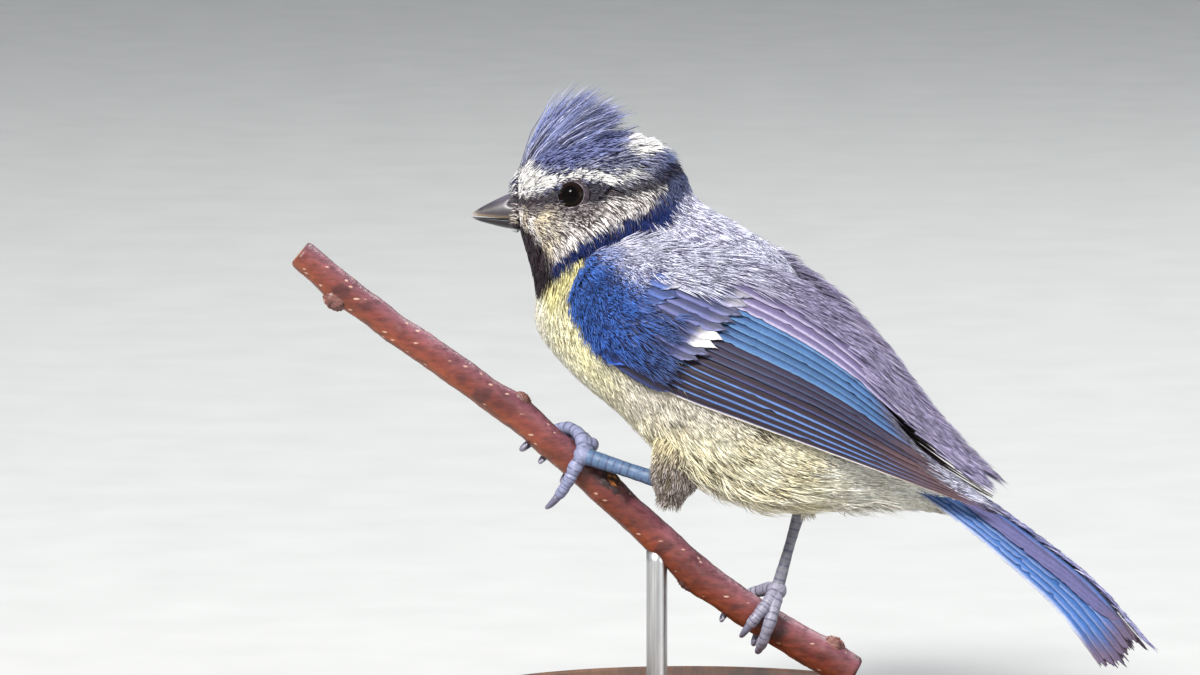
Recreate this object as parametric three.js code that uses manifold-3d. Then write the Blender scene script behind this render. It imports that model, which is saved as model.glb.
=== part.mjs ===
// A life-size blue tit on a short cut length of twig, held by a plain display stand.
// Millimetres, +Z up. The bird is modelled straight, with its head toward -X and its left side
// toward -Y, and is then posed: the head turned back a little and the whole bird turned on its perch.
import * as THREE from "three";
import { mergeVertices } from "three/addons/utils/BufferGeometryUtils.js";
import Module from "manifold-3d";

const wasm = await Module();
wasm.setup();

// Driving sizes
const GAP = 0.3; // between neighbouring solids
const LOCK = 0.55; // thickness of a crest feather at its root
const RECTRIX = 0.65; // thickness of a tail feather
const BODY_TURN = THREE.MathUtils.degToRad(20); // the tail comes this far toward the viewer
const HEAD_TURN = THREE.MathUtils.degToRad(17); // the head turns back this far
const NECK_AXIS = new THREE.Vector3(-7.1, 0, 0); // upright line that the head turns about
const NECK_CENTRE = new THREE.Vector3(-6.4, 0, 66.5);
const NECK_LEAN = new THREE.Vector3(-0.63, 0, 0.777); // from the breast up into the head
const NECK_BLEND = 8; // the turn fades out this far on each side of the neck's centre

// Body stations from the bill to the tail: a point on the upper and lower outline, the half width,
// and the height of the widest place as a share of the way up.
const BODY_STATIONS = [
  { name: "bill base", top: [-23.2, 73.9], bottom: [-23.1, 68.9], half: 2.5, widest: 0.5 },
  { name: "forehead", top: [-22.8, 77.4], bottom: [-22.5, 66.9], half: 5.3, widest: 0.48 },
  { name: "brow", top: [-18.8, 80.7], bottom: [-21.8, 64.5], half: 7.7, widest: 0.45 },
  { name: "crown", top: [-12.6, 81.9], bottom: [-21.3, 62.5], half: 9.1, widest: 0.46 },
  { name: "hindcrown", top: [-6.4, 80.6], bottom: [-21.0, 60.5], half: 9.8, widest: 0.48 },
  { name: "nape", top: [-1.7, 77.0], bottom: [-21.0, 58.3], half: 10.2, widest: 0.5 },
  { name: "collar", top: [0.8, 72.6], bottom: [-20.8, 55.4], half: 11.0, widest: 0.5 },
  { name: "shoulders", top: [6.2, 69.8], bottom: [-18.8, 52.2], half: 12.3, widest: 0.52 },
  { name: "breast", top: [12.0, 66.2], bottom: [-15.3, 48.7], half: 13.2, widest: 0.5 },
  { name: "mid back", top: [16.0, 61.0], bottom: [-10.1, 44.9], half: 13.4, widest: 0.48 },
  { name: "belly", top: [19.8, 55.8], bottom: [-4.0, 40.2], half: 12.9, widest: 0.46 },
  { name: "flank", top: [23.3, 50.4], bottom: [3.0, 35.6], half: 11.7, widest: 0.46 },
  { name: "vent", top: [27.0, 45.8], bottom: [10.8, 32.9], half: 9.8, widest: 0.46 },
  { name: "rump", top: [30.8, 41.9], bottom: [20.0, 32.8], half: 7.6, widest: 0.48 },
  { name: "tail coverts", top: [34.8, 39.0], bottom: [27.9, 33.2], half: 5.2, widest: 0.5 },
  { name: "covert tips", top: [38.4, 36.6], bottom: [34.2, 32.6], half: 3.0, widest: 0.5 },
];
const RING_SIDES = 24;
const RINGS_PER_STATION = 2;
const HEAD_ENDS_AT = 5.0; // station numbers where the body is parted
const NECK_ENDS_AT = 6.6;
const TORSO_ENDS_AT = 12;

// Head
const EYE = { at: [-15.4, 6.75, 73.9], radius: 2.5, aperture: 1.85, lidTube: 0.34 };
const BILL_STATIONS = [
  { x: -20.6, ridge: 74.6, tomium: 70.2, keel: 68.4, half: 2.35 },
  { x: -23.6, ridge: 73.9, tomium: 70.25, keel: 68.75, half: 2.05 },
  { x: -25.6, ridge: 73.1, tomium: 70.3, keel: 69.1, half: 1.6 },
  { x: -27.6, ridge: 72.1, tomium: 70.4, keel: 69.6, half: 1.0 },
  { x: -28.9, ridge: 71.35, tomium: 70.5, keel: 70.0, half: 0.55 },
];
const BILL_TIP = { x: -29.6, z: 70.6, radius: 0.16 };
const BILL_SIDES = 11;
const NOSTRIL = { at: [-24.1, 1.75, 72.4], radii: [0.55, 0.7, 0.3] };
const CREST = {
  rows: 6, perRow: 4, first: 0.9, last: 2.8, spread: 0.5,
  length: [15, 6], rise: [66, 42], width: 1.05, sunk: 0.9, gather: 0.25,
};

// Wing surface of the left wing, from the bend to the tip: its lower edge, middle and upper edge
const WING_LOWER = [
  [-14.8, -9.2, 60.6], [-8.0, -11.9, 53.0], [0.9, -13.2, 48.4], [10.8, -12.9, 45.2],
  [20.3, -11.2, 41.9], [33.1, -7.2, 37.2], [45.6, -3.2, 32.6],
];
const WING_MIDDLE = [
  [-13.4, -10.6, 64.3], [-3.6, -13.2, 60.4], [5.4, -13.7, 56.4], [14.8, -12.1, 52.0],
  [23.4, -9.4, 47.0], [33.9, -5.6, 39.9], [45.4, -2.6, 33.2],
];
const WING_UPPER = [
  [-11.4, -10.4, 67.3], [-2.5, -10.6, 66.4], [7.4, -8.7, 64.4], [16.2, -5.8, 60.4],
  [24.9, -3.5, 53.8], [34.6, -2.2, 43.2], [45.2, -2.0, 33.8],
];
const WING_THICK = 1.6; // from the outer face in to the bed that it lies in
const ARM_DEPTH = -0.25; // of the arm's face, which the coverts lie over
// Tiers of the wing's feathers. Each spreads from its first feather, at the lower edge, to its last.
// Roots and tips are places on the wing: how far along it and how far across. The peak lengthens the
// feathers near the start of a tier.
const WING_TIERS = [
  { name: "primaries", count: 7, root: [[0.24, 0.02], [0.36, 0.48]], tip: [[0.9, 0.04], [0.84, 0.66]],
    peak: 0.1, lift: [-0.4, -0.25], stops: [0, 0.3, 0.6, 0.88, 1], back: -1.35 },
  { name: "secondaries", count: 5, root: [[0.32, 0.44], [0.34, 0.82]], tip: [[0.85, 0.6], [0.72, 0.88]],
    peak: 0, lift: [-0.15, 0.05], stops: [0, 0.3, 0.6, 0.88, 1], back: -1.2 },
  { name: "tertials", count: 3, root: [[0.34, 0.74], [0.3, 0.99]], tip: [[0.76, 0.78], [0.56, 0.98]],
    peak: 0, lift: [0.2, 0.4], stops: [0, 0.4, 0.8, 1], back: -1.05 },
  { name: "primary coverts", count: 4, root: [[0.1, 0.03], [0.16, 0.36]], tip: [[0.34, 0.02], [0.31, 0.4]],
    peak: 0, lift: [0.05, 0.2], stops: [0, 0.75, 1], back: -0.95 },
  { name: "greater coverts", count: 7, root: [[0.12, 0.32], [0.17, 0.96]], tip: [[0.35, 0.34], [0.42, 0.92]],
    peak: 0, lift: [0.3, 0.5], stops: [0, 0.45, 0.8, 1], back: -0.85 },
  { name: "median coverts", count: 6, root: [[0.04, 0.22], [0.05, 0.9]], tip: [[0.2, 0.24], [0.25, 0.86]],
    peak: 0, lift: [0.6, 0.75], stops: [0, 0.7, 1], back: -0.7 },
  { name: "alula", count: 2, root: [[0.03, 0.05], [0.04, 0.3]], tip: [[0.22, 0.04], [0.18, 0.28]],
    peak: 0, lift: [0.4, 0.55], stops: [0, 0.7, 1], back: -0.75 },
];
const VANE_TILT = 0.3; // how far a vane's lower edge stands over its middle line
const TIP_NOTCH = 0.028; // share of the wing's length that a vane's corners stop short of its point

// Tail
// The ridge of the tail, x and z
const TAIL_LINE = [
  [24.0, 41.6], [32.0, 38.6], [40.0, 34.6], [48.0, 29.5], [56.0, 23.6], [63.2, 16.0],
];
const TAIL = {
  reach: 45, pairs: 6, start: 0.2, spread: 0.95, width: 5.0, roof: 0.3, twist: 0.25, step: 0.3,
  stops: [{ at: 0, wide: 0.7 }, { at: 0.5, wide: 1 }, { at: 0.86, wide: 0.84 }, { at: 1, wide: 0.3 }],
};

// Legs. Thighs are in the bird's own frame. Feet are in the posed frame: x along the twig, and
// degrees round it, counted from its upper side toward the viewer.
const THIGHS = [
  { side: "left", hip: [1.8, -7.0, 43.0], heel: [-0.2, -6.2, 35.5], top: 4.2, end: 2.8 },
  { side: "right", hip: [12.4, 5.0, 40.0], heel: [14.2, 5.0, 32.8], top: 4.0, end: 1.9 },
];
const FEET = [
  { side: "left", along: -15.4, angle: 62, lift: 0, shank: [1.1, 0.98, 1.1], toes: [
    { name: "inner", turn: [52, -118], shift: -2.6, out: 0 },
    { name: "middle", turn: [58, -138], shift: -5.0, out: 0 },
    { name: "outer", turn: [40, -122], shift: 0.4, out: 0 },
    { name: "hind", turn: [82, 156], shift: 1.0, out: 2.0 } ] },
  { side: "right", along: 9.2, angle: 12, lift: 0.7, shank: [0.9, 0.68, 0.85], toes: [
    { name: "inner", turn: [22, 112], shift: -0.6, out: 0.1 },
    { name: "middle", turn: [14, 150], shift: 2.0, out: 0.3 },
    { name: "outer", turn: [-2, -118], shift: -3.2, out: 0 },
    { name: "hind", turn: [-16, -138], shift: 1.2, out: 0 } ] },
];
const TOE_RADIUS = [0.98, 0.7];
const TOE_STEPS = 6;
const CLAW = { radius: 0.55, length: 3.9, tip: 0.17 };
const PALM_RADIUS = 1.3;

// Twig and stand, in the posed frame
const TWIG_LINE = [
  [-52, 65.9], [-45.8, 60.8], [-39.7, 56.1], [-33.5, 51.8], [-27.3, 47.4], [-21.2, 42.8], [-15, 37.5],
  [-8.8, 31.9], [-2.7, 26.3], [3.5, 20.9], [9.7, 16.7], [15.8, 12.9], [22, 9.3],
];
const TWIG_RADIUS = [1.95, 2.35]; // at its thin and its thick end
// Buds and scars: place along x, degrees round the twig, radii along, across and outward, and sunk depth
const TWIG_BUDS = [
  { x: -46.2, angle: 152, radii: [1.7, 1.3, 1.4], sunk: 0.1 },
  { x: -23.6, angle: 12, radii: [1.3, 1.0, 1.0], sunk: 0.1 },
  { x: -11.4, angle: 44, radii: [2.3, 1.5, 1.1], sunk: 0.5 },
  { x: 0.8, angle: 160, radii: [1.6, 1.2, 1.0], sunk: 0.4 },
  { x: 18.2, angle: 20, radii: [1.5, 1.1, 1.3], sunk: 0.2 },
];
const BASE = { radius: 34, height: 6, bevel: 1.2 };
const ROD = { x: -4.4, radius: 1.4 };

// Small maths
const { lerp, degToRad, smoothstep } = THREE.MathUtils;
const vec = (p) => new THREE.Vector3(p[0], p[1], p[2]);
const mixed = (pair, t) => lerp(pair[0], pair[1], t);

// A smooth value through evenly numbered values, read at the number u.
function through(values, u) {
  const last = values.length - 1;
  const i = Math.min(Math.max(Math.floor(u), 0), last - 1);
  const at = (k) => values[Math.min(Math.max(k, 0), last)];
  const [a, b, c, d] = [at(i - 1), at(i), at(i + 1), at(i + 2)];
  const t = u - i;
  return b + 0.5 * t * (c - a + t * (2 * a - 5 * b + 4 * c - d + t * (3 * (b - c) + d - a)));
}
const throughPoints = (points, u) => vec([0, 1, 2].map((k) => through(points.map((p) => p[k]), u)));

// Pose of a point of the straight bird
function posed(p) {
  const along = p.clone().sub(NECK_CENTRE).dot(NECK_LEAN);
  const turn = HEAD_TURN * smoothstep(along, -NECK_BLEND, NECK_BLEND);
  const up = new THREE.Vector3(0, 0, 1);
  return p.clone().sub(NECK_AXIS).applyAxisAngle(up, turn).add(NECK_AXIS).applyAxisAngle(up, -BODY_TURN);
}

// Solids
function solidOf(points, faces) {
  const geometry = new THREE.BufferGeometry();
  geometry.setAttribute("position", new THREE.Float32BufferAttribute(points.flatMap((p) => p.toArray()), 3));
  geometry.setIndex(faces.flat());
  return solidOfGeometry(geometry);
}

function solidOfGeometry(source) {
  const plain = source.index ? source.toNonIndexed() : source.clone();
  for (const name of ["normal", "uv"]) plain.deleteAttribute(name);
  const merged = mergeVertices(plain, 1e-4);
  const solid = new wasm.Manifold(
    new wasm.Mesh({
      numProp: 3,
      vertProperties: merged.attributes.position.array,
      triVerts: new Uint32Array(merged.index.array),
    }),
  );
  return solid;
}

function pointsOf(solid) {
  const mesh = solid.getMesh();
  const points = [];
  for (let i = 0; i < mesh.numVert; i++) points.push(vec(mesh.vertProperties.subarray(i * mesh.numProp)));
  return { points, triangles: mesh.triVerts };
}

// The same solid with each point moved
function moved(solid, move) {
  const { points, triangles } = pointsOf(solid);
  const faces = [];
  for (let i = 0; i < triangles.length; i += 3) faces.push([...triangles.subarray(i, i + 3)]);
  const probe = [vec([0, 0, 0]), vec([1, 0, 0]), vec([0, 1, 0]), vec([0, 0, 1])].map(move);
  const [x, y, z] = probe.slice(1).map((p) => p.clone().sub(probe[0]));
  const flips = x.cross(y).dot(z) < 0;
  return solidOf(points.map(move), flips ? faces.map((f) => [f[0], f[2], f[1]]) : faces);
}

const joined = (solids) => solids.reduce((all, solid) => all.add(solid));
const mirrored = (solid) => moved(solid, (p) => vec([p.x, -p.y, p.z]));
const biggest = (solid) => solid.decompose().sort((a, b) => b.volume() - a.volume())[0];

// A closed solid through rings of equally many points, with a fan on each end
function loft(rings) {
  const sides = rings[0].length;
  const points = rings.flat();
  const faces = [];
  for (let r = 0; r + 1 < rings.length; r++) {
    for (let i = 0; i < sides; i++) {
      const a = r * sides + i;
      const b = r * sides + ((i + 1) % sides);
      faces.push([a, b, b + sides], [a, b + sides, a + sides]);
    }
  }
  const centre = (ring) => ring.reduce((sum, p) => sum.add(p), vec([0, 0, 0])).divideScalar(sides);
  const start = points.push(centre(rings[0])) - 1;
  const end = points.push(centre(rings.at(-1))) - 1;
  const lastRing = (rings.length - 1) * sides;
  for (let i = 0; i < sides; i++) {
    const j = (i + 1) % sides;
    faces.push([start, j, i], [end, lastRing + i, lastRing + j]);
  }
  const solid = solidOf(points, faces);
  return solid.volume() > 0 ? solid : solidOf(points, faces.map((f) => [f[0], f[2], f[1]]));
}

// A round tube through points, with a radius at each
function tube(points, radii, sides = 8) {
  let side = new THREE.Vector3();
  const rings = points.map((p, i) => {
    const ahead = points[Math.min(i + 1, points.length - 1)];
    const behind = points[Math.max(i - 1, 0)];
    const along = ahead.clone().sub(behind).normalize();
    if (!i) side = new THREE.Vector3(0, Math.abs(along.y) < 0.9 ? 1 : 0, 0.1).cross(along);
    side = side.clone().addScaledVector(along, -side.dot(along)).normalize();
    const up = along.clone().cross(side);
    return Array.from({ length: sides }, (_, k) => {
      const a = (2 * Math.PI * k) / sides;
      const [across, rise] = [radii[i] * Math.cos(a), radii[i] * Math.sin(a)];
      return p.clone().addScaledVector(side, across).addScaledVector(up, rise);
    });
  });
  return loft(rings);
}

// A slab between two like grids of points, split into triangles alike on both faces
function slab(outer, inner) {
  const rows = outer.length;
  const columns = outer[0].length;
  const points = [...outer.flat(), ...inner.flat()];
  const under = rows * columns;
  const faces = [];
  for (let r = 0; r + 1 < rows; r++) {
    for (let c = 0; c + 1 < columns; c++) {
      const [a, b] = [r * columns + c, r * columns + c + 1];
      const [d, e] = [a + columns, b + columns];
      faces.push([a, b, e], [a, e, d], [under + a, under + e, under + b], [under + a, under + d, under + e]);
    }
  }
  const wall = (a, b) => faces.push([b, a, under + a], [b, under + a, under + b]);
  for (let c = 0; c + 1 < columns; c++) {
    wall(c, c + 1);
    wall((rows - 1) * columns + c + 1, (rows - 1) * columns + c);
  }
  for (let r = 0; r + 1 < rows; r++) {
    wall((r + 1) * columns, r * columns);
    wall(r * columns + columns - 1, (r + 2) * columns - 1);
  }
  const solid = solidOf(points, faces);
  return solid.volume() > 0 ? solid : solidOf(points, faces.map((f) => [f[0], f[2], f[1]]));
}

// Body
// A point of the body's outline at a station number and an angle from the top, grown outward.
function bodyPoint(station, angle, grow = 0) {
  const read = (pick) => through(BODY_STATIONS.map(pick), station);
  const top = vec([read((s) => s.top[0]), 0, read((s) => s.top[1])]);
  const bottom = vec([read((s) => s.bottom[0]), 0, read((s) => s.bottom[1])]);
  const up = top.clone().sub(bottom);
  const height = up.length();
  up.normalize();
  const widest = read((s) => s.widest);
  const reach = (Math.cos(angle) > 0 ? 1 - widest : widest) * height + grow;
  return bottom
    .addScaledVector(up, widest * height + reach * Math.cos(angle))
    .add(vec([0, (read((s) => s.half) + grow) * Math.sin(angle), 0]));
}

function bodyRing(station, grow) {
  const angle = (i) => (2 * Math.PI * i) / RING_SIDES;
  return Array.from({ length: RING_SIDES }, (_, i) => bodyPoint(station, angle(i), grow));
}

function bodySolid(from, to, grow = 0) {
  const count = Math.max(1, Math.round((to - from) * RINGS_PER_STATION));
  return loft(Array.from({ length: count + 1 }, (_, i) => bodyRing(lerp(from, to, i / count), grow)));
}

const LAST_STATION = BODY_STATIONS.length - 1;
const wholeBody = (grow) => bodySolid(0, LAST_STATION, grow);

// A thin plate along a station, thick enough to part the body there
function partingPlate(station) {
  const ring = bodyRing(station, 4);
  const ahead = bodyPoint(station + 0.1, 0).sub(bodyPoint(station, 0));
  const below = bodyPoint(station + 0.1, Math.PI).sub(bodyPoint(station, Math.PI));
  const along = ahead.add(below).normalize().multiplyScalar(GAP);
  return loft([ring, ring.map((p) => p.clone().add(along))]);
}

// Wing
function wingPoint(s, t) {
  const at = (row) => throughPoints(row, s * (row.length - 1));
  const [low, mid, high] = [WING_LOWER, WING_MIDDLE, WING_UPPER].map(at);
  const bend = mid.multiplyScalar(2).addScaledVector(low, -0.5).addScaledVector(high, -0.5);
  return low
    .multiplyScalar((1 - t) * (1 - t))
    .addScaledVector(bend, 2 * t * (1 - t))
    .addScaledVector(high, t * t);
}

// Place on the wing's surface with its outward and across directions
function wingFrame(s, t) {
  const step = 0.01;
  const across = wingPoint(s, t + step).sub(wingPoint(s, t - step)).normalize();
  const along = wingPoint(s + step, t).sub(wingPoint(s - step, t)).normalize();
  const out = along.clone().cross(across).normalize();
  return { at: wingPoint(s, t), across, out };
}

// One tier of the wing: vanes side by side, each lower edge standing over the vane below it
function tierSolid(tier) {
  const place = (ends, f) => [mixed([ends[0][0], ends[1][0]], f), mixed([ends[0][1], ends[1][1]], f)];
  const outer = [];
  const inner = [];
  for (const stop of tier.stops) {
    outer.push([]);
    inner.push([]);
    for (let i = 0; i < tier.count; i++) {
      const middle = (i + 0.5) / tier.count;
      for (const part of [0, 0.5, 1]) {
        const edge = (i + part) / tier.count;
        const short = stop === 1 && part !== 0.5 ? TIP_NOTCH : 0;
        const peak = tier.peak * Math.sin(Math.PI * Math.min(1, middle * 1.6));
        const s = mixed([place(tier.root, middle)[0], place(tier.tip, middle)[0] + peak - short], stop);
        const t = mixed([place(tier.root, edge)[1], place(tier.tip, edge)[1]], stop);
        const { at, out } = wingFrame(s, t);
        const depth = mixed(tier.lift, middle) + VANE_TILT * (1 - 2 * part);
        outer.at(-1).push(at.clone().addScaledVector(out, depth));
        inner.at(-1).push(at.clone().addScaledVector(out, tier.back));
      }
    }
  }
  return slab(outer, inner);
}

// A curved plate that follows the wing's surface, between two depths
function wingPlate(fromS, toS, fromT, toT, outerDepth, innerDepth, rows, columns) {
  const grid = (depth) =>
    Array.from({ length: rows }, (_, r) =>
      Array.from({ length: columns }, (_, c) => {
        const { at, out } = wingFrame(lerp(fromS, toS, r / (rows - 1)), lerp(fromT, toT, c / (columns - 1)));
        return at.addScaledVector(out, depth);
      }),
    );
  return slab(grid(outerDepth), grid(innerDepth));
}

const wingBed = () => wingPlate(-0.02, 1.03, -0.16, 1.06, 7, -WING_THICK - GAP, 15, 6);

function leftWing() {
  const arm = wingPlate(0.005, 0.42, 0.03, 0.97, ARM_DEPTH, -WING_THICK + 0.1, 6, 5);
  return biggest(joined([arm, ...WING_TIERS.map(tierSolid)]));
}

// Tail
function tailFrame(a) {
  const points = TAIL_LINE.map(([x, z]) => [x, 0, z]);
  const u = a * (points.length - 1);
  const along = throughPoints(points, u + 0.05).sub(throughPoints(points, u - 0.05)).normalize();
  const side = new THREE.Vector3(0, 1, 0).applyAxisAngle(along, TAIL.twist * smoothstep(a, 0, 0.5));
  return { at: throughPoints(points, u), side, out: along.clone().cross(side) };
}

// Height of the tail's roof at a distance across from its ridge
function tailSpot(a, across, lift) {
  const { at, side, out } = tailFrame(a);
  return at.addScaledVector(side, across).addScaledVector(out, lift - TAIL.roof * Math.abs(across));
}

function tailVane(pair, side) {
  const reach = (a) => side * (0.35 + pair * TAIL.spread * lerp(0.05, 1, a));
  const length = 1 - 0.012 * Math.abs(pair - 3);
  const outer = [];
  const inner = [];
  for (const stop of TAIL.stops) {
    const a = lerp(TAIL.start, length, stop.at);
    const half = (TAIL.width / 2) * stop.wide * lerp(0.5, 1, stop.at);
    const middle = reach(a) - side * (half - 0.9);
    const row = [-1, 1].map((edge) => tailSpot(a, middle + edge * half, -TAIL.step * pair));
    outer.push(row);
    inner.push(row.map((p) => p.clone().addScaledVector(tailFrame(a).out, -RECTRIX)));
  }
  return slab(outer, inner);
}

// The fleshy root that carries the tail feathers, grown outward by a given amount
function tailRoot(grow) {
  const sections = [
    { a: 0.12, wide: 2.2, high: 1.0, end: -1 }, { a: 0.2, wide: 2.8, high: 1.2, end: 0 },
    { a: 0.32, wide: 3.0, high: 0.9, end: 4 },
  ];
  const rings = sections.map(({ a, wide, high, end }) => {
    const { at, side, out } = tailFrame(a + (end * grow) / TAIL.reach);
    return Array.from({ length: 12 }, (_, k) => {
      const angle = (2 * Math.PI * k) / 12;
      return at
        .clone()
        .addScaledVector(side, (wide + grow) * Math.cos(angle))
        .addScaledVector(out, (high + grow) * Math.sin(angle) - 1.1);
    });
  });
  return loft(rings);
}

// The space that the tail's feathers take inside the rump
function tailSlot() {
  const grid = (depth) =>
    [0.12, 0.3, 0.5].map((a) => [-1, -0.5, 0, 0.5, 1].map((k) => tailSpot(a, k * lerp(5, 6.8, a), depth)));
  return slab(grid(GAP + 0.05), grid(-TAIL.step * TAIL.pairs - RECTRIX - GAP));
}

function tailSolid() {
  const vanes = [];
  for (let pair = 0; pair < TAIL.pairs; pair++) vanes.push(tailVane(pair, -1), tailVane(pair, 1));
  return biggest(joined([tailRoot(0), ...vanes]));
}

// Head
const eyeCentre = (side) => vec([EYE.at[0], side * EYE.at[1], EYE.at[2]]);

function eyeSolid(side, grow) {
  const ball = solidOfGeometry(new THREE.SphereGeometry(EYE.radius + grow, 14, 8));
  return moved(ball, (p) => p.add(eyeCentre(side)));
}

// A ring of lid round the part of the eye that shows
function eyelid(side) {
  const ring = solidOfGeometry(new THREE.TorusGeometry(EYE.aperture + 0.15, EYE.lidTube, 6, 16));
  const depth = Math.sqrt(EYE.radius ** 2 - EYE.aperture ** 2) + 0.1;
  const out = new THREE.Vector3(-0.28, side, 0.2).normalize();
  const turn = new THREE.Quaternion().setFromUnitVectors(new THREE.Vector3(0, 0, 1), out);
  return moved(ring, (p) => p.applyQuaternion(turn).add(eyeCentre(side)).addScaledVector(out, depth));
}

// One crest feather, a flat tapered lock that curves up and back from the crown
function crestLock(rank, place) {
  const t = rank / (CREST.rows - 1);
  const angle = CREST.spread * (place / ((CREST.perRow - 1) / 2));
  const root = bodyPoint(lerp(CREST.first, CREST.last, t), angle, -CREST.sunk);
  const rise = degToRad(mixed(CREST.rise, t) - 4 * Math.abs(place));
  const length = mixed(CREST.length, t) * (1 - 0.08 * Math.abs(place));
  const outer = [];
  const inner = [];
  for (const stop of [{ at: 0, wide: 1 }, { at: 0.55, wide: 0.9 }, { at: 1, wide: 0.18 }]) {
    const swing = rise + degToRad(8 - 20 * stop.at);
    const reach = length * stop.at;
    const middle = root
      .clone()
      .add(vec([Math.cos(swing) * reach, -root.y * CREST.gather * stop.at, Math.sin(swing) * reach]));
    const out = vec([-Math.sin(swing), 0, Math.cos(swing)]);
    const row = [-1, 1].map((edge) => middle.clone().add(vec([0, edge * CREST.width * stop.wide, 0])));
    outer.push(row);
    inner.push(row.map((p) => p.clone().addScaledVector(out, -LOCK * lerp(1, 0.5, stop.at))));
  }
  return slab(outer, inner);
}

function crestLocks() {
  const locks = [];
  const half = (CREST.perRow - 1) / 2;
  for (let row = 0; row < CREST.rows; row++) {
    for (let place = -half; place <= half; place++) locks.push(crestLock(row, place));
  }
  return locks;
}

// Half of the bill: the upper mandible from ridge to cutting edge, or the lower from there to the keel
function mandible(upper) {
  const way = upper ? 1 : -1;
  const arch = (x, half, edge, far) =>
    Array.from({ length: BILL_SIDES }, (_, i) => {
      const angle = (Math.PI * i) / (BILL_SIDES - 1);
      return vec([x, half * Math.cos(angle), edge + (far - edge) * Math.sin(angle)]);
    });
  const rings = BILL_STATIONS.map(({ x, ridge, tomium, keel, half }) =>
    arch(x, half * (upper ? 1 : 0.92), tomium + (way * GAP) / 2, upper ? ridge : keel),
  );
  const edge = BILL_TIP.z + (way * GAP) / 2;
  rings.push(arch(BILL_TIP.x + (upper ? 0 : 0.3), BILL_TIP.radius, edge, edge + way * BILL_TIP.radius));
  return loft(rings);
}

function nostril(side) {
  const hole = solidOfGeometry(new THREE.SphereGeometry(1, 8, 6));
  const [x, y, z] = NOSTRIL.at;
  const [a, b, c] = NOSTRIL.radii;
  return moved(hole, (p) => vec([x + a * p.x, side * y + b * p.y, z + c * p.z]));
}

// Legs
function thighSolid({ hip, heel, top, end }, grow = 0) {
  const [from, to] = [vec(hip), vec(heel)];
  const along = to.clone().sub(from).normalize();
  const stops = [[0, top], [0.4, lerp(top, end, 0.3)], [0.75, lerp(top, end, 0.85)], [1, end]];
  const points = stops.map(([t]) => from.clone().lerp(to, t));
  const radii = stops.map(([, r]) => r + grow);
  for (const [t, shrink] of [[0.55, 0.84], [0.92, 0.4]]) {
    points.push(to.clone().addScaledVector(along, end * t + grow));
    radii.push(end * shrink + grow);
  }
  return tube(points, radii, 12);
}

// A point of the twig's centreline where it crosses x
function twigAt(x) {
  const points = TWIG_LINE.map(([px, pz]) => [px, 0, pz]);
  let [low, high] = [0, points.length - 1];
  for (let i = 0; i < 30; i++) {
    const middle = (low + high) / 2;
    if (throughPoints(points, middle).x < x) low = middle;
    else high = middle;
  }
  return { at: throughPoints(points, low), share: low / (points.length - 1) };
}

function twigFrame(x) {
  const { at, share } = twigAt(x);
  const along = twigAt(x + 1).at.sub(twigAt(x - 1).at).normalize();
  const up = new THREE.Vector3(-along.z, 0, along.x);
  return { at, along, up, radius: mixed(TWIG_RADIUS, share) };
}

// A point round the twig: x along it, an angle in degrees from its upper side toward the viewer
function roundTwig(x, angle, distance) {
  const { at, up } = twigFrame(x);
  const a = degToRad(angle);
  return at.addScaledVector(up, distance * Math.cos(a)).add(vec([0, -distance * Math.sin(a), 0]));
}

function palmCentre({ along, angle, lift }) {
  return roundTwig(along, angle, twigFrame(along).radius + GAP + PALM_RADIUS + lift);
}

// A point of the line that a toe takes round the twig. Past 1 it is the line of the claw.
function gripPoint(foot, toe, t, radius) {
  const x = foot.along + toe.shift * Math.sin(Math.min(t, 1.2) * 1.2);
  const clearance = foot.lift * (1 - Math.min(t, 1)) + toe.out * t * t;
  return roundTwig(x, mixed(toe.turn, t), twigFrame(x).radius + GAP + radius + clearance);
}

// A toe's tube, thicker at its joints
function toeSolid(foot, toe) {
  const shares = Array.from({ length: TOE_STEPS + 1 }, (_, i) => i / TOE_STEPS);
  const radii = shares.map((t, i) => mixed(TOE_RADIUS, t) * (i % 2 ? 1 : 0.9));
  const path = shares.map((t, i) => (i ? gripPoint(foot, toe, t, radii[i]) : palmCentre(foot)));
  return tube(path, radii, 6);
}

// A claw that carries on round the twig from the end of its toe
function clawSolid(foot, toe) {
  const turned = Math.abs(toe.turn[1] - toe.turn[0]);
  const reach = twigFrame(foot.along).radius + GAP + TOE_RADIUS[1] + toe.out;
  const start = 1 + GAP / (degToRad(turned) * reach) + 0.01;
  const end = start + CLAW.length / (degToRad(turned) * reach);
  const shares = [0, 0.35, 0.7, 1];
  const radii = shares.map((t) => lerp(CLAW.radius, CLAW.tip, t ** 1.2));
  const bow = (t) => 0.45 * Math.sin(Math.PI * t) + lerp(TOE_RADIUS[1], CLAW.tip, t);
  return tube(shares.map((t) => gripPoint(foot, toe, lerp(start, end, t), bow(t))), radii, 6);
}

// The shank from inside the heel to just short of the palm, and the stub of it that the foot keeps
function shankSolids(foot, heel) {
  const palm = palmCentre(foot);
  const along = palm.clone().sub(heel).normalize();
  const length = palm.distanceTo(heel);
  const cut = length - PALM_RADIUS - 0.5;
  const at = (d) => heel.clone().addScaledVector(along, d);
  const shank = tube([at(0), at(cut * 0.5), at(cut)], foot.shank);
  const stub = tube([at(cut + GAP), at(length)], [foot.shank[2], PALM_RADIUS]);
  return { shank, stub };
}

// Twig and stand
function twigSolid(grow = 0) {
  const points = TWIG_LINE.map(([x, z]) => [x, 0, z]);
  const steps = 20;
  const share = (i) => (i / steps) * (points.length - 1);
  const path = Array.from({ length: steps + 1 }, (_, i) => throughPoints(points, share(i)));
  const radii = path.map((_, i) => mixed(TWIG_RADIUS, i / steps) + grow);
  return tube(path, radii, 10);
}

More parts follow.
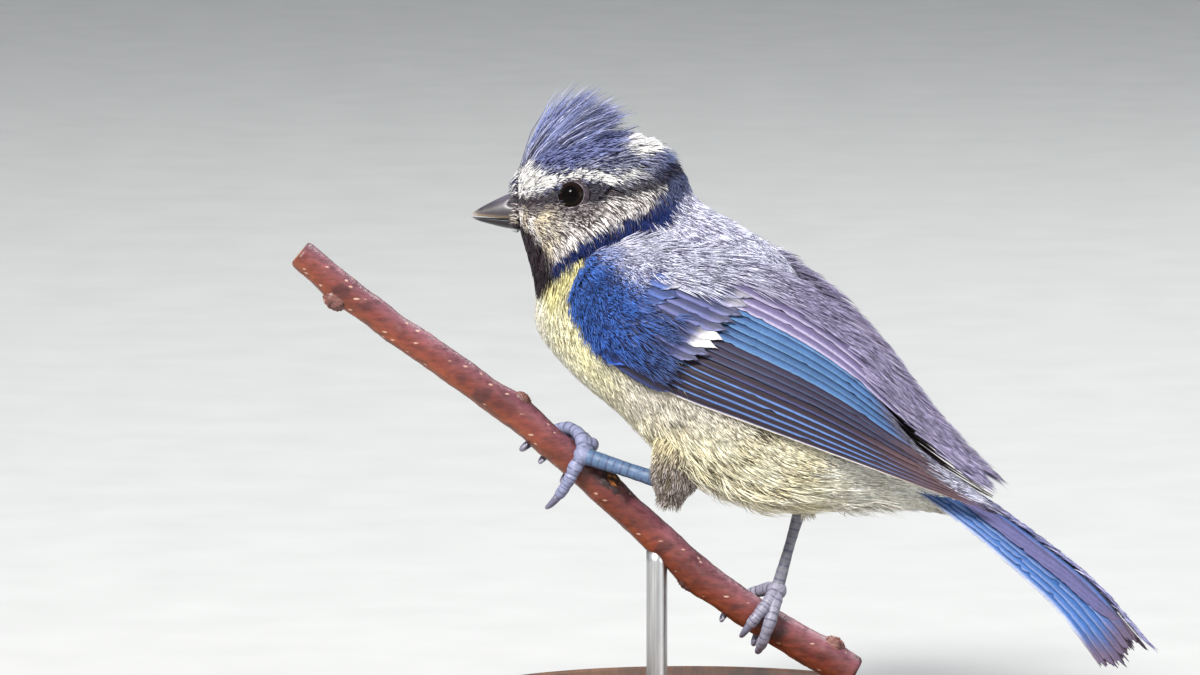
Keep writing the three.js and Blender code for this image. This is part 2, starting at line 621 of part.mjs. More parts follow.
function budSolid({ x, angle, radii, sunk }) {
  const { along, up, radius } = twigFrame(x);
  const centre = roundTwig(x, angle, radius - sunk);
  const turn = degToRad(angle);
  const out = up.clone().multiplyScalar(Math.cos(turn)).add(vec([0, -Math.sin(turn), 0]));
  const across = along.clone().cross(out);
  const bump = solidOfGeometry(new THREE.SphereGeometry(1, 7, 5));
  return moved(bump, (p) =>
    centre
      .clone()
      .addScaledVector(along, p.x * radii[0])
      .addScaledVector(across, p.y * radii[1])
      .addScaledVector(out, p.z * radii[2]),
  );
}

// Assembling
const materials = {
  crown: new THREE.MeshStandardMaterial({ color: 0x7f86ad, roughness: 0.85, metalness: 0 }),
  back: new THREE.MeshStandardMaterial({ color: 0xa9a9b4, roughness: 0.9, metalness: 0 }),
  breast: new THREE.MeshStandardMaterial({ color: 0xe3dcae, roughness: 0.9, metalness: 0 }),
  wing: new THREE.MeshStandardMaterial({ color: 0x4a5f8c, roughness: 0.7, metalness: 0 }),
  tail: new THREE.MeshStandardMaterial({ color: 0x4273b8, roughness: 0.7, metalness: 0 }),
  eye: new THREE.MeshStandardMaterial({ color: 0x120e0c, roughness: 0.1, metalness: 0 }),
  bill: new THREE.MeshStandardMaterial({ color: 0x4b4b55, roughness: 0.4, metalness: 0 }),
  leg: new THREE.MeshStandardMaterial({ color: 0x7d8bb0, roughness: 0.5, metalness: 0 }),
  claw: new THREE.MeshStandardMaterial({ color: 0x6d6f82, roughness: 0.4, metalness: 0 }),
  bark: new THREE.MeshStandardMaterial({ color: 0x8e4636, roughness: 0.6, metalness: 0 }),
  wood: new THREE.MeshStandardMaterial({ color: 0x5b3a25, roughness: 0.5, metalness: 0 }),
  metal: new THREE.MeshStandardMaterial({ color: 0xb9b9b9, roughness: 0.3, metalness: 1 }),
};

const model = new THREE.Group();

function addNode(name, solid, material) {
  const { points, triangles } = pointsOf(biggest(solid));
  const geometry = new THREE.BufferGeometry();
  geometry.setAttribute("position", new THREE.Float32BufferAttribute(points.flatMap((p) => p.toArray()), 3));
  geometry.setIndex(new THREE.BufferAttribute(triangles, 1));
  geometry.computeVertexNormals();
  const mesh = new THREE.Mesh(geometry, materials[material]);
  mesh.name = name;
  model.add(mesh);
}

const posedSolid = (solid) => moved(solid, posed);

// Body, parted into head, neck, torso and rump
const bed = wingBed();
const body = wholeBody(0).subtract(bed).subtract(mirrored(bed));
const cuts = [0, HEAD_ENDS_AT, NECK_ENDS_AT, TORSO_ENDS_AT, LAST_STATION];
const bodyParts = ["head", "neck", "torso", "rump"].map((name, i) => {
  const from = Math.max(0, cuts[i] - (i ? 0.001 : 0));
  let piece = body.intersect(bodySolid(from, cuts[i + 1], 6));
  if (i) piece = piece.subtract(partingPlate(cuts[i]));
  return [name, piece];
});
const parts = Object.fromEntries(bodyParts);

const eyes = [-1, 1];
parts.head = joined([parts.head, ...eyes.map(eyelid), ...crestLocks()]);
for (const side of eyes) parts.head = parts.head.subtract(eyeSolid(side, GAP));
parts.rump = parts.rump.subtract(tailSlot()).subtract(tailRoot(GAP));
addNode("head", posedSolid(parts.head), "crown");
addNode("neck", posedSolid(parts.neck), "back");
for (const name of ["torso", "rump"]) {
  for (const thigh of THIGHS) parts[name] = parts[name].subtract(thighSolid(thigh, GAP));
  addNode(name, posedSolid(parts[name]), "breast");
}

// Bill and eyes
const grownHead = wholeBody(GAP);
for (const [name, upper] of [["bill_upper", true], ["bill_lower", false]]) {
  let piece = mandible(upper).subtract(grownHead);
  if (upper) for (const side of eyes) piece = piece.subtract(nostril(side));
  addNode(name, posedSolid(piece), "bill");
}
for (const side of eyes) addNode(side < 0 ? "eye_left" : "eye_right", posedSolid(eyeSolid(side, 0)), "eye");

// Wings and tail
const wing = leftWing();
addNode("wing_left", posedSolid(wing), "wing");
addNode("wing_right", posedSolid(mirrored(wing)), "wing");
addNode("tail", posedSolid(tailSolid()), "tail");

// Legs
FEET.forEach((foot, i) => {
  const thigh = THIGHS[i];
  addNode(`thigh_${foot.side}`, posedSolid(thighSolid(thigh)), "breast");
  const heel = posed(vec(thigh.heel));
  const { shank, stub } = shankSolids(foot, heel);
  addNode(`shank_${foot.side}`, shank.subtract(posedSolid(thighSolid(thigh, GAP))), "leg");
  const ball = solidOfGeometry(new THREE.IcosahedronGeometry(PALM_RADIUS, 1));
  const palm = moved(ball, (p) => p.add(palmCentre(foot)));
  const toes = foot.toes.map((toe) => toeSolid(foot, toe));
  addNode(`foot_${foot.side}`, joined([palm, stub, ...toes]).subtract(twigSolid(GAP)), "leg");
  for (const toe of foot.toes) {
    addNode(`claw_${foot.side}_${toe.name}`, clawSolid(foot, toe), "claw");
  }
});

// Twig
addNode("twig", joined([twigSolid(), ...TWIG_BUDS.map(budSolid)]), "bark");

// Stand
const baseOutline = [
  [0, 0], [BASE.radius, 0], [BASE.radius, BASE.height - BASE.bevel], [BASE.radius - BASE.bevel, BASE.height],
  [0, BASE.height],
].map(([r, z]) => new THREE.Vector2(r, z));
const base = new THREE.Mesh(new THREE.LatheGeometry(baseOutline, 48), materials.wood);
base.name = "stand_base";
base.rotation.x = Math.PI / 2;
model.add(base);

const rodTop = twigAt(ROD.x).at.z;
const rodHeight = rodTop - BASE.height - GAP;
const rod = moved(solidOfGeometry(new THREE.CylinderGeometry(ROD.radius, ROD.radius, rodHeight, 16)), (p) =>
  vec([ROD.x + p.x, -p.z, BASE.height + GAP + rodHeight / 2 + p.y]),
);
addNode("stand_rod", rod.subtract(twigSolid(GAP)), "metal");

export default model;
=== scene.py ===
# A life-size blue tit on a short cut length of twig, held by a plain display stand.
# Metres, +Z up. The bird is built straight, with its head toward -X and its left side toward -Y,
# and is then posed: the head turned back a little and the whole bird turned on its perch.
import math

import bpy
import numpy as np
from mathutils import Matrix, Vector


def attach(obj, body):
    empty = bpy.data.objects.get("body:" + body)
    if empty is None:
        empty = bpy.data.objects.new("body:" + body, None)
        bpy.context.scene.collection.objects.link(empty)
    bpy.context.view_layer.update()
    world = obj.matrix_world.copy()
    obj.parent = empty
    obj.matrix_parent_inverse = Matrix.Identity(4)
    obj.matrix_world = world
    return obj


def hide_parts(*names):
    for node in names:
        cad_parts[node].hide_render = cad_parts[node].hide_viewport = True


MM = 0.001
SIDE_NAMES = {-1: "left", 1: "right"}
SEED = 41
chance = np.random.default_rng(SEED)

# Pose
BODY_TURN = math.radians(20)
HEAD_TURN = math.radians(17)
NECK_AXIS_X = -7.1 * MM
NECK_CENTRE = np.array([-6.4, 0, 66.5]) * MM
NECK_LEAN = np.array([-0.63, 0, 0.777])
NECK_BLEND = 8 * MM

# Body stations from the bill to the tail: x and z of the upper outline, x and z of the lower
# outline, the half width in millimetres, and the height of the widest place as a share.
BODY_STATIONS = np.array([
    [-23.2, 73.9, -23.1, 68.9, 2.5, 0.50],
    [-22.8, 77.4, -22.5, 66.9, 5.3, 0.48],
    [-18.8, 80.7, -21.8, 64.5, 7.7, 0.45],
    [-12.6, 81.9, -21.3, 62.5, 9.1, 0.46],
    [-6.4, 80.6, -21.0, 60.5, 9.8, 0.48],
    [-1.7, 77.0, -21.0, 58.3, 10.2, 0.50],
    [0.8, 72.6, -20.8, 55.4, 11.0, 0.50],
    [6.2, 69.8, -18.8, 52.2, 12.3, 0.52],
    [12.0, 66.2, -15.3, 48.7, 13.2, 0.50],
    [16.0, 61.0, -10.1, 44.9, 13.4, 0.48],
    [19.8, 55.8, -4.0, 40.2, 12.9, 0.46],
    [23.3, 50.4, 3.0, 35.6, 11.7, 0.46],
    [27.0, 45.8, 10.8, 32.9, 9.8, 0.46],
    [30.8, 41.9, 20.0, 32.8, 7.6, 0.48],
    [34.8, 39.0, 27.9, 33.2, 5.2, 0.50],
    [38.4, 36.6, 34.2, 32.6, 3.0, 0.50],
]) * np.array([MM, MM, MM, MM, MM, 1])
LAST_STATION = len(BODY_STATIONS) - 1
# Coat at each station: its depth over the skin, the length of a feather, and the space between roots
COAT_DEPTH = np.array([
    0.3, 0.45, 0.65, 0.85, 1.0, 1.2, 1.4, 1.6, 1.7, 1.8, 1.8, 1.8, 1.7, 1.5, 1.2, 0.9,
]) * MM
COAT_LENGTH = np.array([
    0.9, 1.2, 1.6, 2.1, 2.5, 3.0, 3.6, 4.2, 4.6, 4.9, 5.2, 5.4, 5.6, 5.4, 5.0, 4.4,
]) * MM
COAT_SPACE = np.array([
    0.4, 0.44, 0.5, 0.58, 0.64, 0.7, 0.76, 0.82, 0.86, 0.9, 0.92, 0.92, 0.9, 0.85, 0.8, 0.8,
]) * MM
# Pieces of the coat: first and last station, barbs in a feather, their width, and the feather's spread
COAT_PARTS = [
    ("coat_face", 0.15, 2.0, 5, 0.055, 0.9),
    ("coat_crown", 2.0, 3.6, 7, 0.06, 0.9),
    ("coat_nape", 3.6, 5.4, 8, 0.065, 0.9),
    ("coat_shoulders", 5.4, 7.6, 9, 0.075, 0.9),
    ("coat_breast", 7.6, 8.9, 9, 0.08, 0.95),
    ("coat_side", 8.9, 10.1, 9, 0.08, 0.95),
    ("coat_belly", 10.1, 11.3, 9, 0.085, 1.0),
    ("coat_flank", 11.3, 12.6, 9, 0.085, 1.0),
    ("coat_rump", 12.6, 15.4, 9, 0.085, 1.0),
]
# Where the coat stops, in millimetres: at a depth under the wings, and behind and before the eyes.
# Near the eyes its feathers are short.
COAT_STOPS = {"wing": -2.2, "behind_eye": 1.7, "before_eye": 2.1, "near_eye": 4.0, "short": 1.1}

# Eye: centre of the left one, radius of the ball, the part that shows, and the way that it looks
EYE_CENTRE = np.array([-15.4, -6.75, 73.9]) * MM
EYE_RADIUS = 2.5 * MM
EYE_APERTURE = 1.85 * MM
EYE_FACING = np.array([-0.28, -1.0, 0.2]) / math.sqrt(0.28 ** 2 + 1 + 0.2 ** 2)
# Bill: x, ridge, cutting edge, keel and half width
BILL_STATIONS = np.array([
    [-20.6, 74.6, 70.2, 68.4, 2.35],
    [-23.6, 73.9, 70.25, 68.75, 2.05],
    [-25.6, 73.1, 70.3, 69.1, 1.6],
    [-27.6, 72.1, 70.4, 69.6, 1.0],
    [-28.9, 71.35, 70.5, 70.0, 0.55],
    [-29.6, 70.76, 70.6, 70.44, 0.16],
]) * MM
BILL_GAP = 0.3 * MM
NOSTRIL = np.array([-24.1, 1.75, 72.4]) * MM
NOSTRIL_RADII = np.array([0.6, 0.9, 0.3]) * MM
CREST = {"locks": 300, "barbs": 12, "first": 0.95, "last": 2.85, "spread": 0.55,
         "length": (14.7 * MM, 7.4 * MM), "rise": (66, 46), "gather": 0.25}
BRISTLES = {"roots": 130, "barbs": 5}

# Left wing's surface, from the bend to the tip: its lower edge, middle and upper edge
WING_LOWER = np.array([
    [-14.8, -9.2, 60.6], [-8.0, -11.9, 53.0], [0.9, -13.2, 48.4], [10.8, -12.9, 45.2],
    [20.3, -11.2, 41.9], [33.1, -7.2, 37.2], [45.6, -3.2, 32.6],
]) * MM
WING_MIDDLE = np.array([
    [-13.4, -10.6, 64.3], [-3.6, -13.2, 60.4], [5.4, -13.7, 56.4], [14.8, -12.1, 52.0],
    [23.4, -9.4, 47.0], [33.9, -5.6, 39.9], [45.4, -2.6, 33.2],
]) * MM
WING_UPPER = np.array([
    [-11.4, -10.4, 67.3], [-2.5, -10.6, 66.4], [7.4, -8.7, 64.4], [16.2, -5.8, 60.4],
    [24.9, -3.5, 53.8], [34.6, -2.2, 43.2], [45.2, -2.0, 33.8],
]) * MM
# Tiers of the wing's feathers. Roots and tips are places on the wing, how far along it and how far
# across, for the first feather, at the lower edge, and the last.
WING_TIERS = [
    {"name": "primaries", "count": 8, "overlap": 1.5, "lift": (-0.4, -0.2), "peak": 0.05,
     "root": ((0.24, 0.02), (0.36, 0.5)), "tip": ((0.96, 0.04), (0.86, 0.66))},
    {"name": "secondaries", "count": 9, "overlap": 1.5, "lift": (-0.1, 0.1), "peak": 0,
     "root": ((0.3, 0.38), (0.34, 0.88)), "tip": ((0.9, 0.5), (0.74, 0.92))},
    {"name": "tertials", "count": 4, "overlap": 1.6, "lift": (0.2, 0.45), "peak": 0,
     "root": ((0.3, 0.8), (0.28, 1.02)), "tip": ((0.84, 0.84), (0.66, 1.03))},
    {"name": "primary_coverts", "count": 6, "overlap": 1.7, "lift": (0.05, 0.2), "peak": 0,
     "root": ((0.1, 0.03), (0.16, 0.36)), "tip": ((0.36, 0.02), (0.33, 0.4))},
    {"name": "greater_coverts", "count": 9, "overlap": 1.8, "lift": (0.3, 0.5), "peak": 0,
     "root": ((0.12, 0.3), (0.17, 0.97)), "tip": ((0.37, 0.32), (0.43, 0.94))},
    {"name": "median_coverts", "count": 9, "overlap": 2.0, "lift": (0.55, 0.72), "peak": 0,
     "root": ((0.05, 0.18), (0.06, 0.94)), "tip": ((0.22, 0.2), (0.27, 0.9))},
    {"name": "alula", "count": 3, "overlap": 1.8, "lift": (0.4, 0.55), "peak": 0,
     "root": ((0.03, 0.04), (0.04, 0.3)), "tip": ((0.24, 0.03), (0.2, 0.26))},
]
FAR_WING_REACH = 0.95  # the far wing is folded a little shorter than the near one
VANE_TILT = 0.11 * MM
VANE_THICK = 0.08 * MM

# Tail
TAIL_LINE = np.array([
    [24.0, 0, 41.6], [32.0, 0, 38.6], [40.0, 0, 34.6], [48.0, 0, 29.5], [56.0, 0, 23.6], [63.2, 0, 16.0],
]) * MM
TAIL = {"pairs": 6, "start": 0.16, "spread": 0.95 * MM, "width": 5.0 * MM, "roof": 0.3, "twist": 0.25,
        "step": 0.3 * MM}

# Legs. Thighs are in the bird's own frame. Feet are in the posed frame: x along the twig, and
# degrees round it, counted from its upper side toward the viewer.
THIGHS = [
    {"hip": (1.8, -7.0, 43.0), "heel": (-0.2, -6.2, 35.5), "top": 4.2, "end": 2.8,
     "profile": (1.0, 0.92, 0.84, 0.76, 0.42)},
    {"hip": (12.4, 5.0, 40.0), "heel": (14.2, 5.0, 32.8), "top": 4.0, "end": 1.9,
     "profile": (1.0, 0.95, 0.82, 0.62, 0.3)},
]
FEET = [
    {"side": "left", "along": -15.4, "angle": 62, "lift": 0, "shank": (1.1, 0.98, 1.1),
     "colour": (122, 126, 154), "shank_colour": (76, 98, 128), "toes": [
        {"name": "inner", "turn": (52, -118), "shift": -2.6, "out": 0},
        {"name": "middle", "turn": (58, -138), "shift": -5.0, "out": 0},
        {"name": "outer", "turn": (40, -122), "shift": 0.4, "out": 0},
        {"name": "hind", "turn": (82, 156), "shift": 1.0, "out": 2.0}]},
    {"side": "right", "along": 9.2, "angle": 12, "lift": 0.7, "shank": (0.9, 0.68, 0.85),
     "colour": (128, 126, 142), "shank_colour": (112, 112, 122), "toes": [
        {"name": "inner", "turn": (22, 112), "shift": -0.6, "out": 0.1},
        {"name": "middle", "turn": (14, 150), "shift": 2.0, "out": 0.3},
        {"name": "outer", "turn": (-2, -118), "shift": -3.2, "out": 0},
        {"name": "hind", "turn": (-16, -138), "shift": 1.2, "out": 0}]},
]
TOE_RADIUS = (0.98, 0.7)
PALM_RADIUS = 1.3
CLAW = {"radius": 0.55, "length": 3.9, "tip": 0.1}
FOOT_GAP = 0.3

# Twig and stand, in the posed frame
TWIG_LINE = np.array([
    [-52, 0, 65.9], [-45.8, 0, 60.8], [-39.7, 0, 56.1], [-33.5, 0, 51.8], [-27.3, 0, 47.4], [-21.2, 0, 42.8],
    [-15, 0, 37.5], [-8.8, 0, 31.9], [-2.7, 0, 26.3], [3.5, 0, 20.9], [9.7, 0, 16.7], [15.8, 0, 12.9],
    [22, 0, 9.3],
])
TWIG_RADIUS = (1.95, 2.35)
# Buds: place along x, degrees round the twig, radii along, across and outward, and sunk depth
TWIG_BUDS = [
    {"x": -46.2, "angle": 152, "radii": (1.7, 1.3, 1.4), "sunk": 0.1, "scar": False},
    {"x": -23.6, "angle": 12, "radii": (1.3, 1.0, 1.0), "sunk": 0.1, "scar": False},
    {"x": -11.4, "angle": 44, "radii": (2.3, 1.5, 1.1), "sunk": 0.5, "scar": True},
    {"x": 0.8, "angle": 160, "radii": (1.6, 1.2, 1.0), "sunk": 0.4, "scar": False},
    {"x": 18.2, "angle": 20, "radii": (1.5, 1.1, 1.3), "sunk": 0.2, "scar": False},
]
BASE = {"radius": 34, "height": 6, "bevel": 1.2, "groove": 3.3}
ROD = {"x": -4.4, "radius": 1.4}

# Stage, lights and camera, in metres. A light has its place, size, watts and colour.
FLOOR = {"front": -5.0, "bend": 4.2, "radius": 1.2, "top": 6.4, "side": 6.4, "columns": 12}
LIGHTS = {
    "key": ((-0.45, -0.75, 0.8), 0.3, 24.0, (1.0, 0.98, 0.95)),
    "fill": ((0.85, -0.7, 0.3), 0.7, 4.5, (0.95, 0.98, 1.0)),
    "back": ((0.3, 0.6, 0.9), 0.5, 9.0, (1.0, 1.0, 1.0)),
}
LIGHT_TARGET = (-0.01, 0, 0.05)
SKY = {"colour": (0.92, 0.95, 1.0, 1), "strength": 0.64}
CAMERA = {"tilt": 6, "distance": 1.5, "target": (-0.012, 0, 0.0546), "view_width": 0.16, "sensor": 36}


def colour(red, green, blue):
    """A colour as the eye names it, from 0 to 255, as light."""
    part = np.array([red, green, blue]) / 255
    return np.where(part < 0.04045, part / 12.92, ((part + 0.055) / 1.055) ** 2.4)


# Colours of the plumage
CREST_BLUE = colour(130, 138, 182)
CREST_PALE = colour(200, 200, 222)
CAP_BLUE = colour(128, 136, 184)
CAP_DARK = colour(44, 46, 84)
FACE_WHITE = colour(250, 247, 244)
BARRED = colour(148, 150, 174)
CHEEK_WHITE = colour(236, 230, 226)
CHEEK_YELLOW = colour(224, 212, 186)
CHEEK_DARK = colour(90, 78, 82)
LID = colour(62, 54, 60)
LID_RIM_AND_HIGHLIGHT = colour(128, 120, 124)
EYE_SHADE = colour(112, 100, 108)
STRIPE = colour(26, 24, 46)
BIB = colour(54, 44, 52)
COLLAR = colour(22, 40, 98)
NAPE = colour(108, 118, 160)
MANTLE = colour(228, 228, 246)
MANTLE_DARK = colour(130, 126, 158)
COBALT = colour(64, 106, 188)
TERTIAL = colour(156, 148, 180)
TERTIAL_PALE = colour(186, 178, 202)
YELLOW = colour(248, 238, 176)
BREAST = colour(255, 251, 232)
BELLY = colour(238, 226, 186)
BELLY_GREY = colour(160, 146, 122)
UNDERWING_GREY_AND_SHADE = colour(214, 208, 202)
VENT = colour(250, 246, 232)
THIGH = colour(180, 168, 164)


# Small maths
def mixed(pair, t):
    return pair[0] + (pair[1] - pair[0]) * t


def smoothstep(value, low, high):
    t = np.clip((value - low) / (high - low), 0, 1)
    return t * t * (3 - 2 * t)


def unit(vectors):
    return vectors / np.maximum(np.linalg.norm(vectors, axis=-1, keepdims=True), 1e-12)


def through(values, at):
    """Smooth values through evenly numbered rows, read at the numbers at, and straight on past both ends."""
    values = np.asarray(values, float)
    last = len(values) - 1
    at = np.asarray(at, float)
    i = np.clip(np.floor(at).astype(int), 0, last - 1)
    t = np.clip(at - i, 0, 1)
    beyond = np.maximum(at - last, 0)
    before = np.minimum(at, 0)
    if values.ndim > 1:
        t, beyond, before = t[..., None], beyond[..., None], before[..., None]
    a, b, c, d = (values[np.clip(i + k, 0, last)] for k in (-1, 0, 1, 2))
    curve = b + 0.5 * t * (c - a + t * (2 * a - 5 * b + 4 * c - d + t * (3 * (b - c) + d - a)))
    return curve + beyond * (values[last] - values[last - 1]) + before * (values[1] - values[0])


def ripple(points, size, seed, waves=7):
    """Soft uneven values from -1 to 1 over space, with lumps of about the given size."""
    source = np.random.default_rng(seed)
    total = np.zeros(points.shape[:-1])
    for _ in range(waves):
        way = unit(source.normal(size=3))
        stretch = source.uniform(0.6, 1.7)
        total += np.sin(points @ way * (2 * math.pi / size * stretch) + source.uniform(0, 6.28))
    return total / waves * 1.6


def laid(base, over, share):
    """A colour with another laid over it, by a share for each point."""
    return base + (over - base) * np.clip(share, 0, 1)[..., None]


def round_angles(count):
    return np.linspace(0, 2 * math.pi, count, endpoint=False)


def round_grid(start, end, rows, columns):
    """Values from start to end down the rows of a grid, and angles all round along its columns."""
    return np.meshgrid(np.linspace(start, end, rows), round_angles(columns), indexing="ij")


def reached(centre, *steps):
    """Points reached from a centre by steps, each a direction and how far to go along it."""
    return centre + sum(way * far[..., None] for way, far in steps)


def mirrored(points):
    """Points of either side brought to the left."""
    return np.stack([points[..., 0], -np.abs(points[..., 1]), points[..., 2]], -1)


def posed(points):
    """Points of the straight bird in its pose."""
    turn = HEAD_TURN * smoothstep((points - NECK_CENTRE) @ NECK_LEAN, -NECK_BLEND, NECK_BLEND)
    x = points[..., 0] - NECK_AXIS_X
    y = points[..., 1]
    turned_x = x * np.cos(turn) - y * np.sin(turn) + NECK_AXIS_X
    turned_y = x * np.sin(turn) + y * np.cos(turn)
    c, s = math.cos(BODY_TURN), math.sin(BODY_TURN)
    return np.stack([turned_x * c + turned_y * s, turned_y * c - turned_x * s, points[..., 2]], -1)


# Meshes
def new_piece(name, shape, material, replaces=()):
    """A mesh object riding with the model, from points, faces and perhaps colours and a flat layout."""
    points, faces, *layers = shape
    mesh = bpy.data.meshes.new(name)
    mesh.vertices.add(len(points))
    mesh.vertices.foreach_set("co", np.ascontiguousarray(points, np.float32).ravel())
    mesh.loops.add(faces.size)
    mesh.loops.foreach_set("vertex_index", np.ascontiguousarray(faces, np.int32).ravel())
    mesh.polygons.add(len(faces))
    mesh.polygons.foreach_set("loop_start", np.arange(0, faces.size, faces.shape[1], dtype=np.int32))
    mesh.polygons.foreach_set("use_smooth", np.ones(len(faces), bool))
    mesh.update(calc_edges=True)
    if layers:
        tint = np.concatenate([np.clip(layers[0], 0, 1), np.ones((len(points), 1))], 1)
        layer = mesh.color_attributes.new("tint", "FLOAT_COLOR", "POINT")
        layer.data.foreach_set("color", tint.astype(np.float32).ravel())
    if len(layers) > 1:
        layer = mesh.uv_layers.new(name="OFBake")
        layer.data.foreach_set("uv", layers[1][faces.ravel()].astype(np.float32).ravel())
    mesh.materials.append(material)
    piece = bpy.data.objects.new(name, mesh)
    bpy.context.scene.collection.objects.link(piece)
    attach(piece, "root")
    if replaces:
        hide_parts(*replaces)


def bird_piece(name, shape, material, replaces=()):
    """A piece of the bird, built straight and posed here."""
    new_piece(name, (posed(shape[0]), *shape[1:]), material, replaces)


def gathered(parts):
    """Several lots of points, faces and further arrays as one."""
    points, faces, others, start = [], [], [], 0
    for part in parts:
        points.append(part[0])
        faces.append(part[1] + start)
        others.append(part[2:])
        start += len(part[0])
    joined = [np.concatenate(column) for column in zip(*others)]
    return [np.concatenate(points), np.concatenate(faces), *joined]


def grid_faces(rows, columns, closed=False):
    """Four-cornered faces of a grid of points, joined round in its columns if closed."""
    r = np.arange(rows - 1)[:, None]
    c = np.arange(columns if closed else columns - 1)[None, :]
    after = (c + 1) % columns
    a, b = r * columns + c, r * columns + after
    return np.stack([a, b, b + columns, a + columns], -1).reshape(-1, 4)


def tube_mesh(rings):
    """Points and faces of a closed tube through rings (count, sides, 3), drawn to a point at each end."""
    count, sides = rings.shape[:2]
    start, end = rings[0].mean(0), rings[-1].mean(0)
    start, end = (np.repeat(point[None, None], sides, 1) for point in (start, end))
    full = np.concatenate([start, rings, end])
    return full.reshape(-1, 3), grid_faces(count + 2, sides, closed=True)


def tube_rings(path, radii, sides, shape=None):
    """Rings round a path. The shape, if given, changes the radius by ring and by angle."""
    along = unit(np.gradient(path, axis=0))
    side = np.cross([0.0, 1.0, 0.1], along[0])
    angles = round_angles(sides)
    rings = []
    for i, way in enumerate(along):
        side = unit(side - way * (side @ way))
        radius = radii[i] * (shape(i, angles) if shape else np.ones(sides))
        up = np.cross(way, side)
        rings.append(reached(path[i], (side, np.cos(angles) * radius), (up, np.sin(angles) * radius)))
    return np.array(rings)


def slab_mesh(outer, inner):
    """Points and faces of a thin closed sheet between two like grids of points (rows, columns, 3)."""
    rows, columns = outer.shape[:2]
    under = rows * columns
    top = grid_faces(rows, columns)
    bottom = top[:, ::-1] + under
    rim = np.concatenate([
        np.arange(columns), np.arange(1, rows) * columns + columns - 1,
        np.arange(columns - 2, -1, -1) + (rows - 1) * columns, np.arange(rows - 2, 0, -1) * columns,
    ])
    ahead = np.roll(rim, -1)
    walls = np.stack([ahead, rim, rim + under, ahead + under], -1)
    return np.concatenate([outer.reshape(-1, 3), inner.reshape(-1, 3)]), np.concatenate([top, bottom, walls])


# Surfaces that feathers grow from: each gives a point at a place along and across it and a height
def body_point(station, angle, grow=0.0):
    read = through(BODY_STATIONS, station)
    up = read[..., 0:2] - read[..., 2:4]
    height = np.linalg.norm(up, axis=-1)
    up = up / height[..., None]
    widest = read[..., 5]
    reach = np.where(np.cos(angle) > 0, 1 - widest, widest) * height + grow
    rise = widest * height + reach * np.cos(angle)
    side = (read[..., 4] + grow) * np.sin(angle)
    return np.stack([read[..., 2] + up[..., 0] * rise, side, read[..., 3] + up[..., 1] * rise], -1)


def flesh_point(station, angle, grow=0.0):
    """A point of the body, drawn in at the sides where the tail's outer feathers stand over it."""
    point = body_point(station, angle, grow)
    point[..., 1] *= 1 - 0.5 * smoothstep(station, 12.2, 14.0)
    return point


def wing_face(s, t):
    low, middle, high = (through(row, np.asarray(s) * 6) for row in (WING_LOWER, WING_MIDDLE, WING_UPPER))
    bend = 2 * middle - 0.5 * low - 0.5 * high
    t = np.asarray(t)[..., None]
    return low * (1 - t) ** 2 + bend * 2 * t * (1 - t) + high * t ** 2


def wing_out(s, t):
    step = 0.01
    across = wing_face(s, t + step) - wing_face(s, t - step)
    along = wing_face(s + step, t) - wing_face(s - step, t)
    return unit(np.cross(along, across))


def wing_point(s, t, height=0.0):
    return wing_face(s, t) + wing_out(s, t) * np.asarray(height)[..., None]


def thigh_surface(thigh):
    hip, heel = np.array(thigh["hip"]) * MM, np.array(thigh["heel"]) * MM
    way = unit(heel - hip)
    side = unit(np.cross(way, [0.0, 1.0, 0.0]))
    front = np.cross(way, side)
    profile = np.array(thigh["profile"]) * thigh["top"] * MM
    reach = np.linalg.norm(heel - hip) + thigh["end"] * 0.8 * MM

    def point(along, angle, grow=0.0):
        radius = through(profile, np.clip(along, 0, 1) * 4) + grow
        centre = reached(hip, (way, along * reach))
        return reached(centre, (side, np.cos(angle) * radius), (front, np.sin(angle) * radius))

    return point


# Feathers of the coat
BARB_STOPS = np.array([0.0, 0.4, 0.75, 1.0])
BARB_WIDTHS = np.array([0.8, 1.0, 0.7])
BARB_POINTS = len(BARB_WIDTHS) * 3 + 1
BARB_THICK = 0.7


def barb_solids(paths, outward, width):
    """Closed three-sided barbs along paths (count, stops, 3), with the way outward and width of each."""
    along = np.gradient(paths, axis=1)
    side = unit(np.cross(along, outward[:, None]))
    out = unit(np.cross(side, along))
    wide = width[:, None, None] * BARB_WIDTHS[None, :, None]
    body = paths[:, :-1]
    corners = [body + side[:, :-1] * wide, body - side[:, :-1] * wide, body + out[:, :-1] * wide * BARB_THICK]
    rings = np.stack(corners, 2).reshape(len(paths), -1, 3)
    points = np.concatenate([rings, paths[:, -1:]], 1)
    pattern = [[0, 1, 2]]
    for corner in range(BARB_POINTS - 1):
        beside = corner + 1 if corner % 3 < 2 else corner - 2
        if corner < BARB_POINTS - 4:
            pattern += [[corner, corner + 3, beside + 3], [corner, beside + 3, beside]]
        else:
            pattern.append([corner, BARB_POINTS - 1, beside])
    faces = np.array(pattern)[None] + (np.arange(len(paths)) * BARB_POINTS)[:, None, None]
    return points.reshape(-1, 3), faces.reshape(-1, 3)


def barb_shades(base, light, stops):
    """Colours of the points of barbs: each barb's own, by its light and by a shade for each of its stops."""
    shaft = np.concatenate([np.repeat(stops[:-1], 3), stops[-1:]])
    return (base[:, None] * (light[:, None] * shaft)[..., None]).reshape(-1, 3)


def barb_layout(home, place):
    """The flat layout of barbs round the home of each, by its place from side to side of its feather."""
    patch = np.stack(np.broadcast_arrays(place[:, None], np.linspace(-1, 1, BARB_POINTS)), -1) * 0.0015
    return (home[:, None] + patch).reshape(-1, 2)


def body_layout(along, across):
    return np.stack([along / LAST_STATION * 0.96 + 0.02, (across / (2 * math.pi) + 0.5) * 0.96 + 0.02], -1)


def wide_layout(along, across):
    return np.stack([along * 0.9 + 0.05, across * 0.9 + 0.05], -1)


